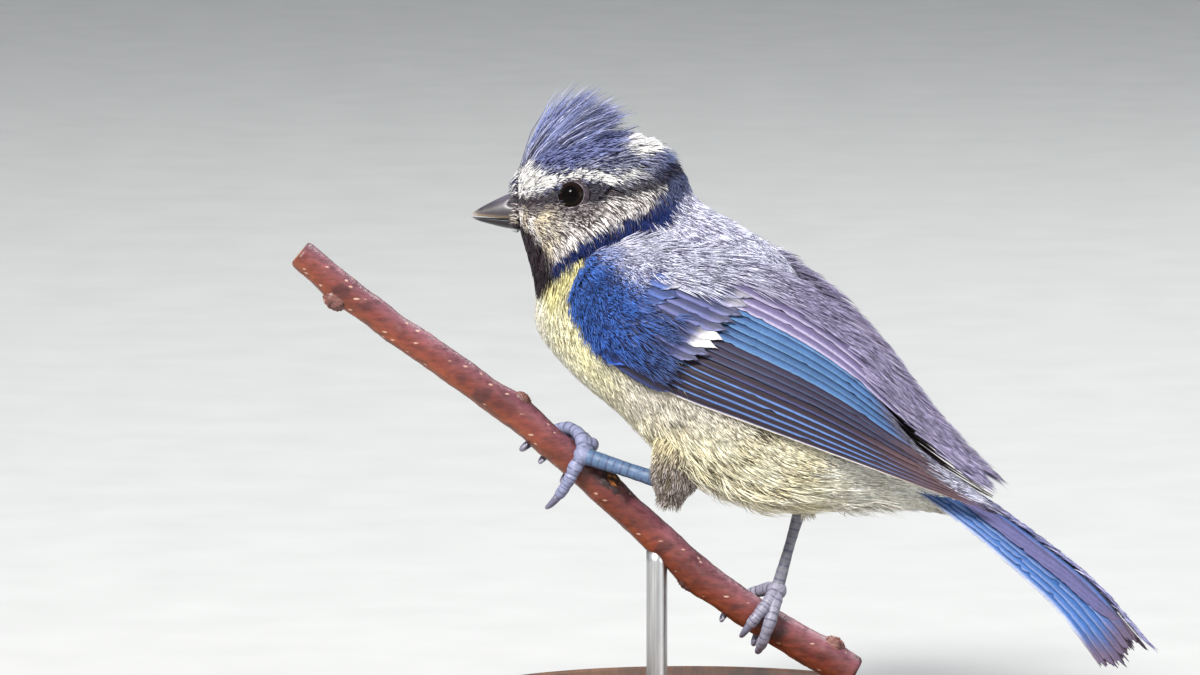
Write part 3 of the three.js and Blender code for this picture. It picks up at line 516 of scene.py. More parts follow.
def thigh_layout(along, across):
    return np.stack([along, across / 8], -1)


def tufts(surface, along, across, length, depth, count, splay, width, paint, lift=0.0, layout=wide_layout):
    """Small feathers rooted at places on a surface, each a fan of barbs that follows it.

    Length, depth, splay, width and lift are one for all roots or one for each. Paint gives, for points
    of the straight bird, the colour there, the colour of the odd barbs that make its streaks, and
    their share.
    """
    step = 1e-3
    roots = len(along)
    total = roots * count
    sizes = (length, depth, splay, width, lift)
    length, depth, splay, width, lift = (np.broadcast_to(size, roots) for size in sizes)
    root = surface(along, across, -depth)
    ahead = surface(along + step, across, -depth) - root
    beside = surface(along, across + step, -depth) - root
    per_along = step / np.maximum(np.linalg.norm(ahead, axis=-1), 1e-9)
    per_across = step / np.maximum(np.linalg.norm(beside, axis=-1), 1e-9)
    outward = surface(along, across, -depth + 1e-4) - root
    which = np.repeat(np.arange(roots), count)
    place = np.tile(np.linspace(-1, 1, count), roots)
    swerve = np.repeat(chance.normal(0, 0.12, roots), count)
    reach = length[which] * (1 - 0.3 * place ** 2) * chance.uniform(0.75, 1.12, total)
    root_side = place * splay[which] * 0.35 + chance.normal(0, 0.06, total) * splay[which]
    tip_side = place * splay[which] + swerve * reach + chance.normal(0, 0.12, total) * splay[which]
    rise = depth[which] + lift[which] + chance.normal(0, 0.1 * MM, total)
    paths = []
    for stop in BARB_STOPS:
        a = along[which] + reach * stop * per_along[which]
        b = across[which] + (root_side + (tip_side - root_side) * stop) * per_across[which]
        paths.append(surface(a, b, -depth[which] + rise * (1 - (1 - stop) ** 1.7)))
    wide = width[which] * chance.uniform(0.7, 1.25, total)
    points, faces = barb_solids(np.stack(paths, 1), unit(outward)[which], wide)
    shown = along + chance.uniform(0.62, 0.86, roots) * length * per_along
    base, odd, share = paint(surface(shown, across, np.zeros(roots)))
    base, odd = (np.broadcast_to(tone, (roots, 3))[which] for tone in (base, odd))
    base = np.where((chance.uniform(0, 1, total) < np.broadcast_to(share, roots)[which])[:, None], odd, base)
    light = np.repeat(chance.normal(1, 0.07, roots), count) * chance.normal(1, 0.1, total)
    # Painted shade: each barb is drawn darker toward its root, where the feathers over it shade it, and a
    # little lighter at its open tip.
    shades = barb_shades(base, np.clip(light, 0.5, 1.4), [0.82, 0.96, 1.0, 1.04])
    return points, faces, shades, barb_layout(layout(along, across)[which], place)


def scattered_on_body(first, last):
    """Roots spread evenly over the body between two stations."""
    along, across = [], []
    station = first
    row = 0
    while station < last:
        space = float(through(COAT_SPACE, station))
        ring = body_point(np.full(48, station), np.linspace(0, 2 * math.pi, 48))
        count = max(8, int(np.linalg.norm(np.diff(ring, axis=0), axis=1).sum() / space))
        angles = (np.arange(count) + 0.5 * (row % 2)) / count * 2 * math.pi - math.pi
        angles = angles + chance.uniform(-0.42, 0.42, count) * 2 * math.pi / count
        here = body_point(np.full(count, station), angles)
        there = body_point(np.full(count, station + 0.02), angles)
        pace = np.linalg.norm(there - here, axis=1) / 0.02
        widest = pace.max()
        keep = chance.uniform(0, 1, count) < np.clip(pace / widest, 0.12, 1)
        step = space / widest
        along.append(station + chance.uniform(-0.45, 0.45, keep.sum()) * step)
        across.append(angles[keep])
        station += step
        row += 1
    return np.concatenate(along), np.concatenate(across)


def wing_cover(points):
    """How deep points of the body lie under the wings' outer face, and whether a wing covers them."""
    s, t = (grid.ravel() for grid in np.meshgrid(np.linspace(0, 1, 60), np.linspace(0, 1, 24), indexing="ij"))
    face, out = wing_face(s, t), wing_out(s, t)
    middle = (s > 0.03) & (s < 0.97) & (t > 0.06) & (t < 0.95)
    near = mirrored(points)
    lot = 2000
    lots = [near[start:start + lot, None] for start in range(0, len(near), lot)]
    nearest = np.concatenate([((some - face) ** 2).sum(-1).argmin(1) for some in lots])
    depth = ((near - face[nearest]) * out[nearest]).sum(-1)
    ways = out[nearest]
    ways[:, 1] *= np.where(points[:, 1] > 0, -1, 1)
    return depth, middle[nearest], ways


# Markings: the colour of the plumage at a point of the straight bird
def near_line(points, line, widths):
    """Share from 0 to 1 for nearness to a line in the side view, with the half width at each of its ends."""
    line = np.array(line) * MM
    widths = np.array(widths) * MM
    spot = points[..., [0, 2]]
    best = np.zeros(points.shape[:-1])
    for a, b, wa, wb in zip(line[:-1], line[1:], widths[:-1], widths[1:]):
        run = b - a
        t = np.clip(((spot - a) @ run) / (run @ run), 0, 1)
        gap = np.linalg.norm(spot - a - t[..., None] * run, axis=-1)
        width = wa + (wb - wa) * t
        best = np.maximum(best, 1 - smoothstep(gap, width * 0.8, width * 1.25))
    return best


def above_line(points, line):
    """Height of points over a line in the side view."""
    line = np.array(line) * MM
    return points[..., 2] - np.interp(points[..., 0], line[:, 0], line[:, 1])


def round_spot(points, middle, radii, outer, inner):
    """Share from 0 to 1 of being in an oval spot of the side view, fading from outer to inner."""
    x, z = points[..., 0] / MM, points[..., 2] / MM
    away = np.hypot((x - middle[0]) / radii[0], (z - middle[1]) / radii[1])
    return smoothstep(-away, -outer, -inner)


EYE_STRIPE = [[-23.4, 72.9], [-21.3, 73.2], [-18.2, 73.8], [-15.4, 74.0], [-12.6, 74.5], [-10.0, 74.3],
              [-7.0, 74.4], [-4.4, 75.0], [-2.0, 76.2]]
EYE_STRIPE_WIDTHS = [0.5, 0.6, 0.7, 1.2, 1.35, 1.1, 0.6, 0.8, 1.5]
BROW = [[-22.6, 75.4], [-20.6, 76.0], [-18.6, 76.0], [-16.6, 76.5], [-13.3, 77.0], [-9.6, 76.1],
        [-6.4, 76.6]]
BROW_WIDTHS = [1.8, 1.6, 0.9, 0.55, 0.6, 0.75, 0.8]
COLLAR_LINE = [[-17.2, 63.2], [-15.7, 64.8], [-12.0, 66.9], [-7.4, 68.6], [-3.4, 70.6], [-2.0, 72.4],
               [-1.3, 74.8]]
COLLAR_WIDTHS = [1.0, 1.15, 1.5, 1.6, 1.55, 1.5, 1.3]
CAP_EDGE = [[-24, 84], [-22.4, 81.2], [-21.0, 78.9], [-19.2, 77.9], [-16.0, 77.8], [-12.4, 78.6],
            [-9.4, 79.7], [-7, 82]]
BIB_LINE = [[-23.4, 68.4], [-22.8, 66.6], [-21.6, 64.2], [-20.0, 61.8]]
BIB_WIDTHS = [1.7, 2.8, 3.4, 2.5]
YELLOW_LINE = [[-18.2, 59.4], [-15.6, 62.4], [-13.6, 64.0]]
YELLOW_WIDTHS = [1.4, 1.3, 0.7]
BACK_EDGE = [[-30, 80], [-8, 69], [-2.5, 66.0], [7.4, 62.0], [16, 56.0], [25, 44.6], [31, 38.4],
             [34.6, 35.8], [46, 28.5]]


def head_share(points):
    """Share from 0 to 1 of being in front of the collar."""
    x = points[..., 0] / MM
    share = smoothstep((points - NECK_CENTRE) @ NECK_LEAN / MM, -4.4, -3.4)
    behind = smoothstep(-above_line(points, COLLAR_LINE) / MM, -0.3, 0.3) * smoothstep(x, -17.5, -16.5)
    behind = np.maximum(behind, 1 - smoothstep(points[..., 2] / MM, 60.0, 61.5))
    return share * (1 - behind) * (1 - smoothstep(x, -0.9, 0.3))


def body_markings(points, patchy, fine):
    """Underparts from the breast to the vent, and the back."""
    x, y, z = points[..., 0] / MM, np.abs(points[..., 1]) / MM, points[..., 2] / MM
    tone = laid(BREAST, YELLOW, smoothstep(y, 3.5, 10) * smoothstep(z, 40, 54) * (0.62 + 0.3 * patchy))
    tone = laid(tone, BELLY, smoothstep(-z, -52, -44) * (0.55 + 0.4 * patchy))
    tone = laid(tone, VENT, smoothstep(x, 20, 26))
    # Greyer high on the belly under the wing: partly the flank's own greyer tone, partly painted shade cast
    # by the wing.
    tone = laid(tone, UNDERWING_GREY_AND_SHADE, 0.75 * smoothstep(z, 41, 46) * smoothstep(x, -10, -2))
    under = smoothstep(-z, -50, -42) * smoothstep(x, -4, 6) * (1 - smoothstep(x, 18, 24))
    share = 0.02 + 0.05 * under + 0.3 * under * smoothstep(patchy, 0.1, 0.7)
    odd = laid(BELLY_GREY, BELLY_GREY * 0.35, under * smoothstep(patchy, 0.0, 0.6))
    back = smoothstep(above_line(points, BACK_EDGE) / MM, -0.8, 1.2) * smoothstep(x, -15, -12)
    tone = laid(tone, laid(MANTLE, MANTLE_DARK, 0.4 * smoothstep(fine, 0.0, 0.8)), back)
    odd = laid(odd, MANTLE_DARK * 0.75, back)
    return tone, odd, share + (0.24 - share) * back


def head_markings(points, patchy, fine):
    """Cheek, cap with its white edge, nape, and the dark stripe and shade round the eye."""
    x, z = points[..., 0] / MM, points[..., 2] / MM
    over_eye = above_line(points, EYE_STRIPE) / MM
    over_cap = above_line(points, CAP_EDGE) / MM
    tone = laid(CHEEK_WHITE, CHEEK_YELLOW, smoothstep(-x, 15.5, 18.5) * smoothstep(patchy, -0.3, 0.6))
    share = 0.24 + 0.34 * smoothstep(fine + 0.6 * patchy, 0.0, 0.8)
    barred = smoothstep(over_eye, 0.2, 1.2)
    tone = laid(tone, BARRED, barred)
    odd = laid(CHEEK_DARK, CAP_DARK, barred)
    share = share + (0.4 - share) * barred
    cap = smoothstep(over_cap + 0.5 * fine, -0.4, 0.4) * smoothstep(-x, 7.0, 9.0)
    tone = laid(tone, CAP_BLUE, cap)
    odd = laid(odd, CAP_DARK, cap)
    white = round_spot(points, (-5.6, 80.2), (2.6, 1.6), 1.2, 0.8)
    white = np.maximum(near_line(points, BROW, BROW_WIDTHS), white)
    forehead = smoothstep(-x, 20.6, 21.6) * smoothstep(z, 74.0, 75.0) * (1 - smoothstep(over_cap, -0.6, 0.4))
    white = np.maximum(white, forehead)
    tone = laid(tone, FACE_WHITE, white)
    share = share * (1 - 0.62 * white)
    nape = smoothstep(x, -4.6, -3.0) * smoothstep(over_eye, -1.6, 0.0) * (1 - 0.8 * smoothstep(z, 79.2, 80.2))
    tone = laid(tone, laid(NAPE, CAP_DARK, 0.5 * smoothstep(fine, 0, 0.7)), nape)
    round_eye = round_spot(points, (-14.8, 72.9), (4.4, 2.9), 1.2, 0.5) * (1 - white)
    tone = laid(tone, EYE_SHADE, 0.7 * round_eye * smoothstep(patchy, -0.9, 0.2))
    stripe = near_line(points, EYE_STRIPE, EYE_STRIPE_WIDTHS)
    tone = laid(tone, STRIPE, stripe * 0.92)
    tone = laid(tone, BIB * 1.6, 0.75 * round_spot(points, (-20.8, 72.6), (2.0, 1.2), 1.2, 0.7))
    mask = np.maximum(stripe, nape)
    return tone, odd, share * (1 - mask) + 0.12 * mask


def markings(points):
    """The plumage of the whole bird: its colour, and the colour and share of its streaks."""
    x, y, z = points[..., 0] / MM, np.abs(points[..., 1]) / MM, points[..., 2] / MM
    patchy = ripple(points, 3.2 * MM, 3)
    fine = ripple(points, 1.1 * MM, 4)
    tone, odd, share = body_markings(points, patchy, fine)
    face, odd_face, odd_share = head_markings(points, patchy, fine)
    head = head_share(points)
    tone = laid(tone, face, head)
    odd = laid(odd, odd_face, head)
    share = share + (odd_share - share) * head
    bib = smoothstep(-z, -68.8, -67.2) * smoothstep(-x, 20.8, 22.0) * smoothstep(z, 59.5, 61.0)
    bib = np.maximum(near_line(points, BIB_LINE, BIB_WIDTHS), bib)
    collar = near_line(points, COLLAR_LINE, COLLAR_WIDTHS)
    tone = laid(tone, BIB, bib)
    tone = laid(tone, laid(COLLAR, NAPE * 0.6, smoothstep(z, 71.0, 74.0)), collar)
    odd = laid(odd, BIB * 0.35, bib)
    share = share * (1 - 0.85 * collar) + (0.3 - share) * bib
    gap = near_line(points, YELLOW_LINE, YELLOW_WIDTHS) * smoothstep(y, 4, 7)
    return laid(tone, YELLOW, 0.9 * gap), odd, share


def thigh_markings(points):
    """Greyish and streaked below, as the belly above."""
    low = 1 - smoothstep(points[..., 2] / MM, 36.5, 40.5)
    return laid(BELLY, THIGH, low), BELLY_GREY * 0.5, 0.12 + 0.3 * low


def pale_thigh_markings(points):
    return BREAST, BELLY_GREY, 0.15


THIGH_PAINTS = (thigh_markings, pale_thigh_markings)


# Materials
class Nodes:
    """A node material in the making, read over the model's own space, turned and stretched."""

    def __init__(self, name, turn=(0, 0, 0), stretch=(1, 1, 1)):
        self.material = bpy.data.materials.new(name)
        self.material.use_nodes = True
        self.tree = self.material.node_tree
        self.shader = self.tree.nodes["Principled BSDF"]
        place = self.add("ShaderNodeTexCoord").outputs["Object"]
        mapping = self.add("ShaderNodeMapping", Vector=place, Rotation=turn, Scale=stretch)
        self.place = mapping.outputs["Vector"]

    def feed(self, node, **inputs):
        """Links or constants for a node's inputs."""
        for key, value in inputs.items():
            socket = node.inputs[key.replace("_", " ")]
            if isinstance(value, bpy.types.NodeSocket):
                self.tree.links.new(value, socket)
            else:
                socket.default_value = value

    def add(self, kind, **inputs):
        node = self.tree.nodes.new(kind)
        self.feed(node, **inputs)
        return node

    def tint(self):
        node = self.add("ShaderNodeAttribute")
        node.attribute_name = "tint"
        return node.outputs["Color"]

    def noise(self, scale, detail, roughness=0.5, distortion=0.0):
        node = self.add("ShaderNodeTexNoise", Vector=self.place, Scale=scale, Detail=detail,
                        Roughness=roughness, Distortion=distortion)
        return node.outputs["Fac"]

    def ramp(self, source, *stops):
        """A source read through stops, each a place and a grey or a colour."""
        node = self.add("ShaderNodeValToRGB", Fac=source)
        elements = node.color_ramp.elements
        while len(elements) < len(stops):
            elements.new(0.5)
        for element, (place, value) in zip(elements, stops):
            element.position = place
            element.color = (*np.broadcast_to(value, 3), 1)
        return node.outputs["Color"]

    def mix(self, first, second, share, blend="MIX"):
        node = self.add("ShaderNodeMix")
        node.data_type = "RGBA"
        node.blend_type = blend
        self.feed(node, A=first, B=second, Factor=share)
        return node.outputs["Result"]

    def finished(self, base, rough, heights, strength, distance, **constants):
        """The material from its colour, its roughness and bump from one or more heights."""
        self.feed(self.shader, Base_Color=base, Roughness=rough, **constants)
        last = None
        for height in heights:
            bump = self.add("ShaderNodeBump", Strength=strength, Distance=distance, Height=height)
            if last:
                self.feed(bump, Normal=last)
            last = bump.outputs["Normal"]
        self.feed(self.shader, Normal=last)
        return self.material


def plumage_material(name, roughness, sheen, grain, shine, dark=1.0):
    """Soft feather: the markings, broken up by fine and coarse noise, with bump along the barbs."""
    nodes = Nodes(name)
    fine = nodes.noise(grain, 4.0, 0.6)
    base = nodes.mix(nodes.tint(), nodes.ramp(fine, (0.3, 0.8 * dark), (0.62, 1.06 * dark)), 1.0, "MULTIPLY")
    base = nodes.mix(base, nodes.ramp(nodes.noise(grain / 9, 3.0), (0.3, 0.92), (0.7, 1.04)), 1.0, "MULTIPLY")
    rough = nodes.ramp(fine, (0.2, roughness - 0.08), (0.8, roughness + 0.08))
    return nodes.finished(base, rough, [fine], 0.35, 0.00012, Sheen_Weight=sheen, Sheen_Roughness=0.45,
                          Specular_IOR_Level=shine)


def horn_material(name, low, high, roughness, grain, bump):
    """Horn, as of a bill or claw: streaks along it, and a worn shine."""
    nodes = Nodes(name, stretch=(0.5, 1.5, 1.5))
    noise = nodes.noise(grain, 6.0, 0.6)
    base = nodes.mix(nodes.tint(), nodes.ramp(noise, (0.25, low), (0.75, high)), 1.0, "MULTIPLY")
    rough = nodes.ramp(noise, (0.2, roughness), (0.8, roughness + 0.2))
    return nodes.finished(base, rough, [noise], bump, 0.0001)


def eye_material():
    """A dark wet eye, black in the pupil and deep brown in the iris."""
    nodes = Nodes("eye_wet")
    noise = nodes.noise(3800.0, 3.0)
    base = nodes.mix(nodes.tint(), nodes.ramp(noise, (0.3, 0.7), (0.7, 1.3)), 1.0, "MULTIPLY")
    rough = nodes.ramp(noise, (0.2, 0.03), (0.8, 0.07))
    return nodes.finished(base, rough, [noise], 0.02, 0.00005, Specular_IOR_Level=0.06)


def bark_material():
    """Young bark: satin, finely wrinkled along the twig, with pale raised pores."""
    nodes = Nodes("bark_satin", (0, math.radians(38), 0), (0.35, 1, 1))
    wrinkle = nodes.noise(1500.0, 7.0, 0.65)
    blotch = nodes.noise(260.0, 5.0, 0.6)
    pores = nodes.add("ShaderNodeTexVoronoi", Vector=nodes.place, Scale=900.0, Randomness=1.0)
    dots = nodes.ramp(pores.outputs["Distance"], (0.1, 0.7), (0.17, 0.0))
    base = nodes.mix(nodes.tint(), nodes.ramp(wrinkle, (0.3, 0.5), (0.5, 0.95), (0.72, 1.3)), 1.0, "MULTIPLY")
    patches = nodes.ramp(blotch, (0.35, (0.62, 0.55, 0.6)), (0.6, (1.15, 1.1, 1.1)))
    base = nodes.mix(base, patches, 1.0, "MULTIPLY")
    base = nodes.mix(base, (*colour(198, 160, 140), 1), dots)
    return nodes.finished(base, nodes.ramp(blotch, (0.3, 0.3), (0.7, 0.55)), [wrinkle, dots], 0.5, 0.00022)


def wood_material():
    """Turned dark wood with long growth streaks and fine pores."""
    nodes = Nodes("wood_turned", (0, 0, 0.3), (1, 0.07, 1))
    streaks = nodes.noise(150.0, 6.0, 0.6, 0.6)
    pores = nodes.noise(1400.0, 6.0, 0.7)
    browns = (0.3, colour(66, 40, 26)), (0.5, colour(98, 62, 40)), (0.7, colour(118, 78, 50))
    tone = nodes.ramp(streaks, *browns)
    base = nodes.mix(tone, nodes.ramp(pores, (0.38, 0.55), (0.56, 1.0)), 0.8, "MULTIPLY")
    return nodes.finished(base, nodes.ramp(pores, (0.3, 0.42), (0.7, 0.3)), [pores], 0.15, 0.0002)


def metal_material():
    """Brushed metal rod."""
    nodes = Nodes("metal_brushed", stretch=(1, 1, 0.03))
    noise = nodes.noise(4000.0, 5.0)
    base = nodes.ramp(noise, (0.3, 0.42), (0.7, 0.62))
    rough = nodes.ramp(noise, (0.3, 0.28), (0.7, 0.42))
    return nodes.finished(base, rough, [noise], 0.1, 0.0001, Metallic=1.0)


def floor_material():
    """Pale matt paper with a faint tooth."""
    nodes = Nodes("floor_pale")
    noise = nodes.noise(60.0, 8.0)
    base = nodes.ramp(noise, (0.3, colour(169, 170, 169)), (0.7, colour(174, 175, 174)))
    return nodes.finished(base, nodes.ramp(noise, (0.3, 0.85), (0.7, 0.95)), [noise], 0.05, 0.0005)


# Skin
def skin_points():
    """Points of the skin as a fine tube, coat's depth inside the plumage and clear of the wings."""
    u, a = round_grid(0, LAST_STATION, 170, 120)
    points = flesh_point(u, a, -through(COAT_DEPTH, u))
    flat = points.reshape(-1, 3)
    depth, inside, ways = wing_cover(flat)
    bed = -1.7 * MM
    push = np.where(inside & (depth > bed) & (depth < 6 * MM), bed - depth, 0)
    return (flat + ways * push[:, None]).reshape(points.shape)


def eye_frame(side):
    """An eye's centre, the way that it looks, and two ways across that."""
    facing = EYE_FACING * [1, -side, 1]
    first = unit(np.cross(facing, [0.0, 0.0, 1.0]))
    return EYE_CENTRE * [1, -side, 1], facing, first, np.cross(facing, first)


def lid_mesh(side):
    """The ring of bare lid round an eye, creased where it folds."""
    centre, facing, first, second = eye_frame(side)
    turns, rounds = 72, 12
    a, b = np.meshgrid(round_angles(turns), round_angles(rounds), indexing="ij")
    depth = math.sqrt(EYE_RADIUS ** 2 - EYE_APERTURE ** 2) + 0.05 * MM
    tube = 0.13 * MM * (1 + 0.2 * np.sin(9 * a + 1.3) + 0.16 * np.sin(23 * a))
    oval = 1 - 0.07 * np.abs(np.sin(a)) ** 3
    radius = (EYE_APERTURE + 0.3 * MM) * oval + 0.36 * MM * np.cos(b)
    height = depth - 0.17 * MM * (1 + np.cos(b)) + tube * np.sin(b)
    points = reached(centre, (first, radius * np.cos(a)), (second, radius * np.sin(a)), (facing, height))
    faces = grid_faces(turns + 1, rounds, closed=True) % (turns * rounds)
    # The lid's inner edge is drawn pale and broken round the eye: partly the lid's own paler margin, partly
    # painted highlight on the wet rim.
    rim = smoothstep(-np.cos(b), 0.55, 0.95)
    tone = laid(LID, LID_RIM_AND_HIGHLIGHT, rim * (0.7 + 0.3 * np.sin(5 * a)))
    points = points.reshape(-1, 3)
    return points, faces, tone.reshape(-1, 3) * (1 + 0.5 * ripple(points, 0.7 * MM, 12))[:, None]


def build_skin(material):
    """One skin over head, neck, body and thighs, with the lids."""
    points, faces = tube_mesh(skin_points())
    # The skin is drawn darker than the plumage over it, and darker still on the thighs: partly its greyer
    # down, partly painted shade in the gaps between feathers.
    parts = [(points, faces, markings(points)[0] * 0.8)]
    for thigh, paint in zip(THIGHS, THIGH_PAINTS):
        points, faces = tube_mesh(thigh_surface(thigh)(*round_grid(0, 0.97, 24, 32), -0.8 * MM))
        parts.append((points, faces, np.broadcast_to(paint(points)[0] * 0.6, points.shape)))
    parts += [lid_mesh(side) for side in (-1, 1)]
    bird_piece("skin", gathered(parts), material,
               ("head", "neck", "torso", "rump", "thigh_left", "thigh_right"))


def build_eye(side, material):
    """An eye with a domed cornea, a rim where it meets the ball, pupil and iris."""
    centre, facing, first, second = eye_frame(side)
    polar, turn = round_grid(0.02, math.pi - 0.02, 64, 72)
    dome = 0.14 * MM * np.exp(-(polar / 0.5) ** 2) - 0.05 * MM * np.exp(-((polar - 0.78) / 0.08) ** 2)
    radius = EYE_RADIUS + dome
    wide = radius * np.sin(polar)
    rings = reached(centre, (facing, radius * np.cos(polar)), (first, wide * np.cos(turn)),
                    (second, wide * np.sin(turn)))
    points, faces = tube_mesh(rings)
    away = np.linalg.norm(np.cross(points - centre, facing), axis=-1) / MM
    tint = laid(colour(5, 4, 4), colour(22, 14, 11), smoothstep(away, 1.05, 1.35))
    tint = laid(tint, colour(8, 7, 8), smoothstep(away, 1.55, 1.75))
    name = f"eye_{SIDE_NAMES[side]}"
    bird_piece(f"{name}_wet", (points, faces, tint), material, (name,))


def bill_rings(read, upper):
    """Rings of one half of the bill, each an arch over a flat floor at the cutting edge."""
    arc = np.linspace(0, math.pi, 40)
    rings = []
    for x, ridge, edge, keel, half in read:
        start = edge + (BILL_GAP if upper else -BILL_GAP) / 2
        far = ridge if upper else keel
        half = half * (1 if upper else 0.92)
        peak = np.sin(arc) ** (0.8 if upper else 1.0)
        side = half * np.cos(arc) * (1 - 0.12 * np.sin(arc) ** 2)
        top = np.stack([np.full(40, x), side, start + (far - start) * peak], -1)
        floor = np.stack([np.full(10, x), np.linspace(-half, half, 12)[1:-1], np.full(10, start)], -1)
        rings.append(np.concatenate([top, floor]))
    return np.array(rings)


def build_bill(material):
    """Both halves of the bill, with the nostrils sunk beside the ridge."""
    read = through(BILL_STATIONS, np.linspace(0, 5, 60))
    for name in ("bill_upper", "bill_lower"):
        upper = name == "bill_upper"
        points, faces = tube_mesh(bill_rings(read, upper))
        if upper:
            beside = mirrored(points) * [1, -1, 1]
            sunk = np.exp(-(((beside - NOSTRIL) / NOSTRIL_RADII) ** 2).sum(-1))
            points[:, 1] -= np.sign(points[:, 1]) * sunk * 0.45 * MM
            # Painted highlight: the upper bill is drawn lighter and lavender toward its ridge, where the
            # light catches it.
            height = (points[:, 2] - 70.3 * MM) / (3 * MM)
            tone = laid(colour(50, 45, 50), colour(90, 84, 102), smoothstep(height, 0.45, 1.1) * 0.7)
            edge = np.interp(points[:, 0], read[::-1, 0], read[::-1, 2])
            tone = laid(tone, colour(132, 112, 88), 1 - smoothstep((points[:, 2] - edge) / MM, 0.2, 0.55))
            # Painted shade: the sunk nostril is drawn near black.
            tone = laid(tone, colour(20, 18, 22), sunk * 1.6)
        else:
            faces = faces[:, ::-1]
            tone = colour(32, 29, 34)
        tone = laid(tone, colour(150, 142, 136), 0.6 * smoothstep(-points[:, 0] / MM, 28.2, 29.6))
        bird_piece(f"{name}_horn", (points, faces, tone), material, (name,))


# Coat
def coat_part(first, last, barbs, width, splay):
    """Body feathers between two stations, left out under the wings and round the eyes."""
    along, across = scattered_on_body(first, last)
    skin = flesh_point(along, across, -through(COAT_DEPTH, along))
    depth, inside, _ = wing_cover(skin)
    beside = mirrored(skin) - EYE_CENTRE
    from_eye = np.linalg.norm(np.cross(beside, EYE_FACING), axis=-1)
    clear = np.where(beside[:, 0] > 0, COAT_STOPS["behind_eye"], COAT_STOPS["before_eye"]) * MM
    keep = ~(inside & (depth > COAT_STOPS["wing"] * MM)) & (from_eye > clear)
    keep &= ~((along < 0.2) & (np.abs(np.cos(across)) < 0.9))
    along, across, from_eye = along[keep], across[keep], from_eye[keep]
    length = through(COAT_LENGTH, along)
    short = np.minimum(length, COAT_STOPS["short"] * MM)
    length = np.where(from_eye < COAT_STOPS["near_eye"] * MM, short, length)
    loose = smoothstep(along, 8.5, 10.5) * smoothstep(-np.cos(across), 0.1, 0.7)
    loose = loose * smoothstep(-along, -14.2, -13.2)
    length = length * (1 + loose * chance.uniform(0, 0.9, len(along)))
    lift = 0.05 * MM + loose * np.abs(chance.normal(0, 1.0 * MM, len(along)))
    ruffled = smoothstep(along, 2.9, 3.4) * smoothstep(-along, -4.9, -4.3)
    ruffled = ruffled * smoothstep(np.cos(across), 0.4, 0.8)
    lift = lift + ruffled * np.abs(chance.normal(0, 0.6 * MM, len(along)))
    return tufts(flesh_point, along, across, length, through(COAT_DEPTH, along), barbs,
                 through(COAT_SPACE, along) * splay, width * MM, markings, lift, body_layout)


def build_coat(material):
    """The short body feathers, in pieces that follow one another from the bill to the tail."""
    for name, *sizes in COAT_PARTS:
        bird_piece(name, coat_part(*sizes), material)


def build_thigh_coat(material):
    parts = []
    rows = np.arange(0.1, 0.98, 0.06)
    ring = 22
    for thigh, paint in zip(THIGHS, THIGH_PAINTS):
        along = np.repeat(rows, ring) + chance.uniform(-0.02, 0.02, len(rows) * ring)
        across = np.tile(round_angles(ring), len(rows)) + chance.uniform(-0.1, 0.1, len(along))
        parts.append(tufts(thigh_surface(thigh), along, across, 2.2 * MM, 0.8 * MM, 6, 0.55 * MM, 0.065 * MM,
                           paint, layout=thigh_layout))
    bird_piece("coat_thighs", gathered(parts), material)


def build_crest(material):
    """Raised crown feathers, each a lock of fine barbs that bends up and back."""
    locks, barbs = CREST["locks"], CREST["barbs"]
    total = locks * barbs
    t = chance.uniform(0, 1, locks) ** 0.85
    place = chance.uniform(-1, 1, locks)
    station = mixed((CREST["first"], CREST["last"]), t)
    angle = CREST["spread"] * place
    which = np.repeat(np.arange(locks), barbs)
    root = body_point(station, angle, -0.8 * MM)[which]
    rise = (mixed(CREST["rise"], t) - 6 * np.abs(place) + chance.normal(0, 5.5, locks))[which]
    length = mixed(CREST["length"], t) * (1 - 0.14 * np.abs(place)) * chance.uniform(0.6, 1.06, locks)
    length = length * (0.74 + 0.26 * smoothstep(t, 0.0, 0.16))
    offset = np.tile(np.linspace(-1, 1, barbs), locks)
    own = 1.04 - 0.42 * np.abs(offset) ** 1.5 * chance.uniform(0.6, 1.2, total)
    sway = chance.normal(0, 0.5 * MM, locks)
    lean = chance.normal(0, 2.2, total)
    root_shift = np.stack([chance.normal(0, 0.3, total), offset * 0.4, np.zeros(total)], -1) * MM
    paths = []
    for stop in BARB_STOPS:
        swing = np.radians(rise + lean * stop + 8 - 20 * stop)
        reach = length[which] * stop * own
        across = (-root[:, 1] * CREST["gather"] + offset * 0.4 * MM + sway[which]) * stop
        paths.append(root + root_shift + np.stack([np.cos(swing) * reach, across, np.sin(swing) * reach], -1))
    swing = np.radians(rise)
    outward = np.stack([-np.sin(swing), 0.3 * np.sign(offset), np.cos(swing)], -1)
    points, faces = barb_solids(np.stack(paths, 1), outward, 0.075 * MM * chance.uniform(0.7, 1.2, total))
    light = np.clip(chance.normal(1, 0.2, locks), 0.5, 1.5)[which]
    light = light * np.clip(chance.normal(1, 0.14, total), 0.6, 1.4)
    base = laid(CREST_BLUE, CAP_BLUE, 0.6 * t[which])
    base = laid(base, CREST_PALE, (chance.uniform(0, 1, total) < 0.26) * 0.75)
    base = laid(base, CAP_DARK, (chance.uniform(0, 1, total) < 0.2) * 0.8)
    front = smoothstep(1 - t[which], 0.9, 1.0)
    base = laid(base, FACE_WHITE, 0.6 * front * (chance.uniform(0, 1, total) < 0.6))
    # Painted shade: each barb is drawn darker at its root, inside the crest where the locks shade one
    # another, and a little darker at its tip.
    tint = barb_shades(base, light, [0.75, 0.95, 1.0, 0.85])
    layout = barb_layout(body_layout(station, angle)[which], offset)
    bird_piece("coat_crest", (points, faces, tint, layout), material)


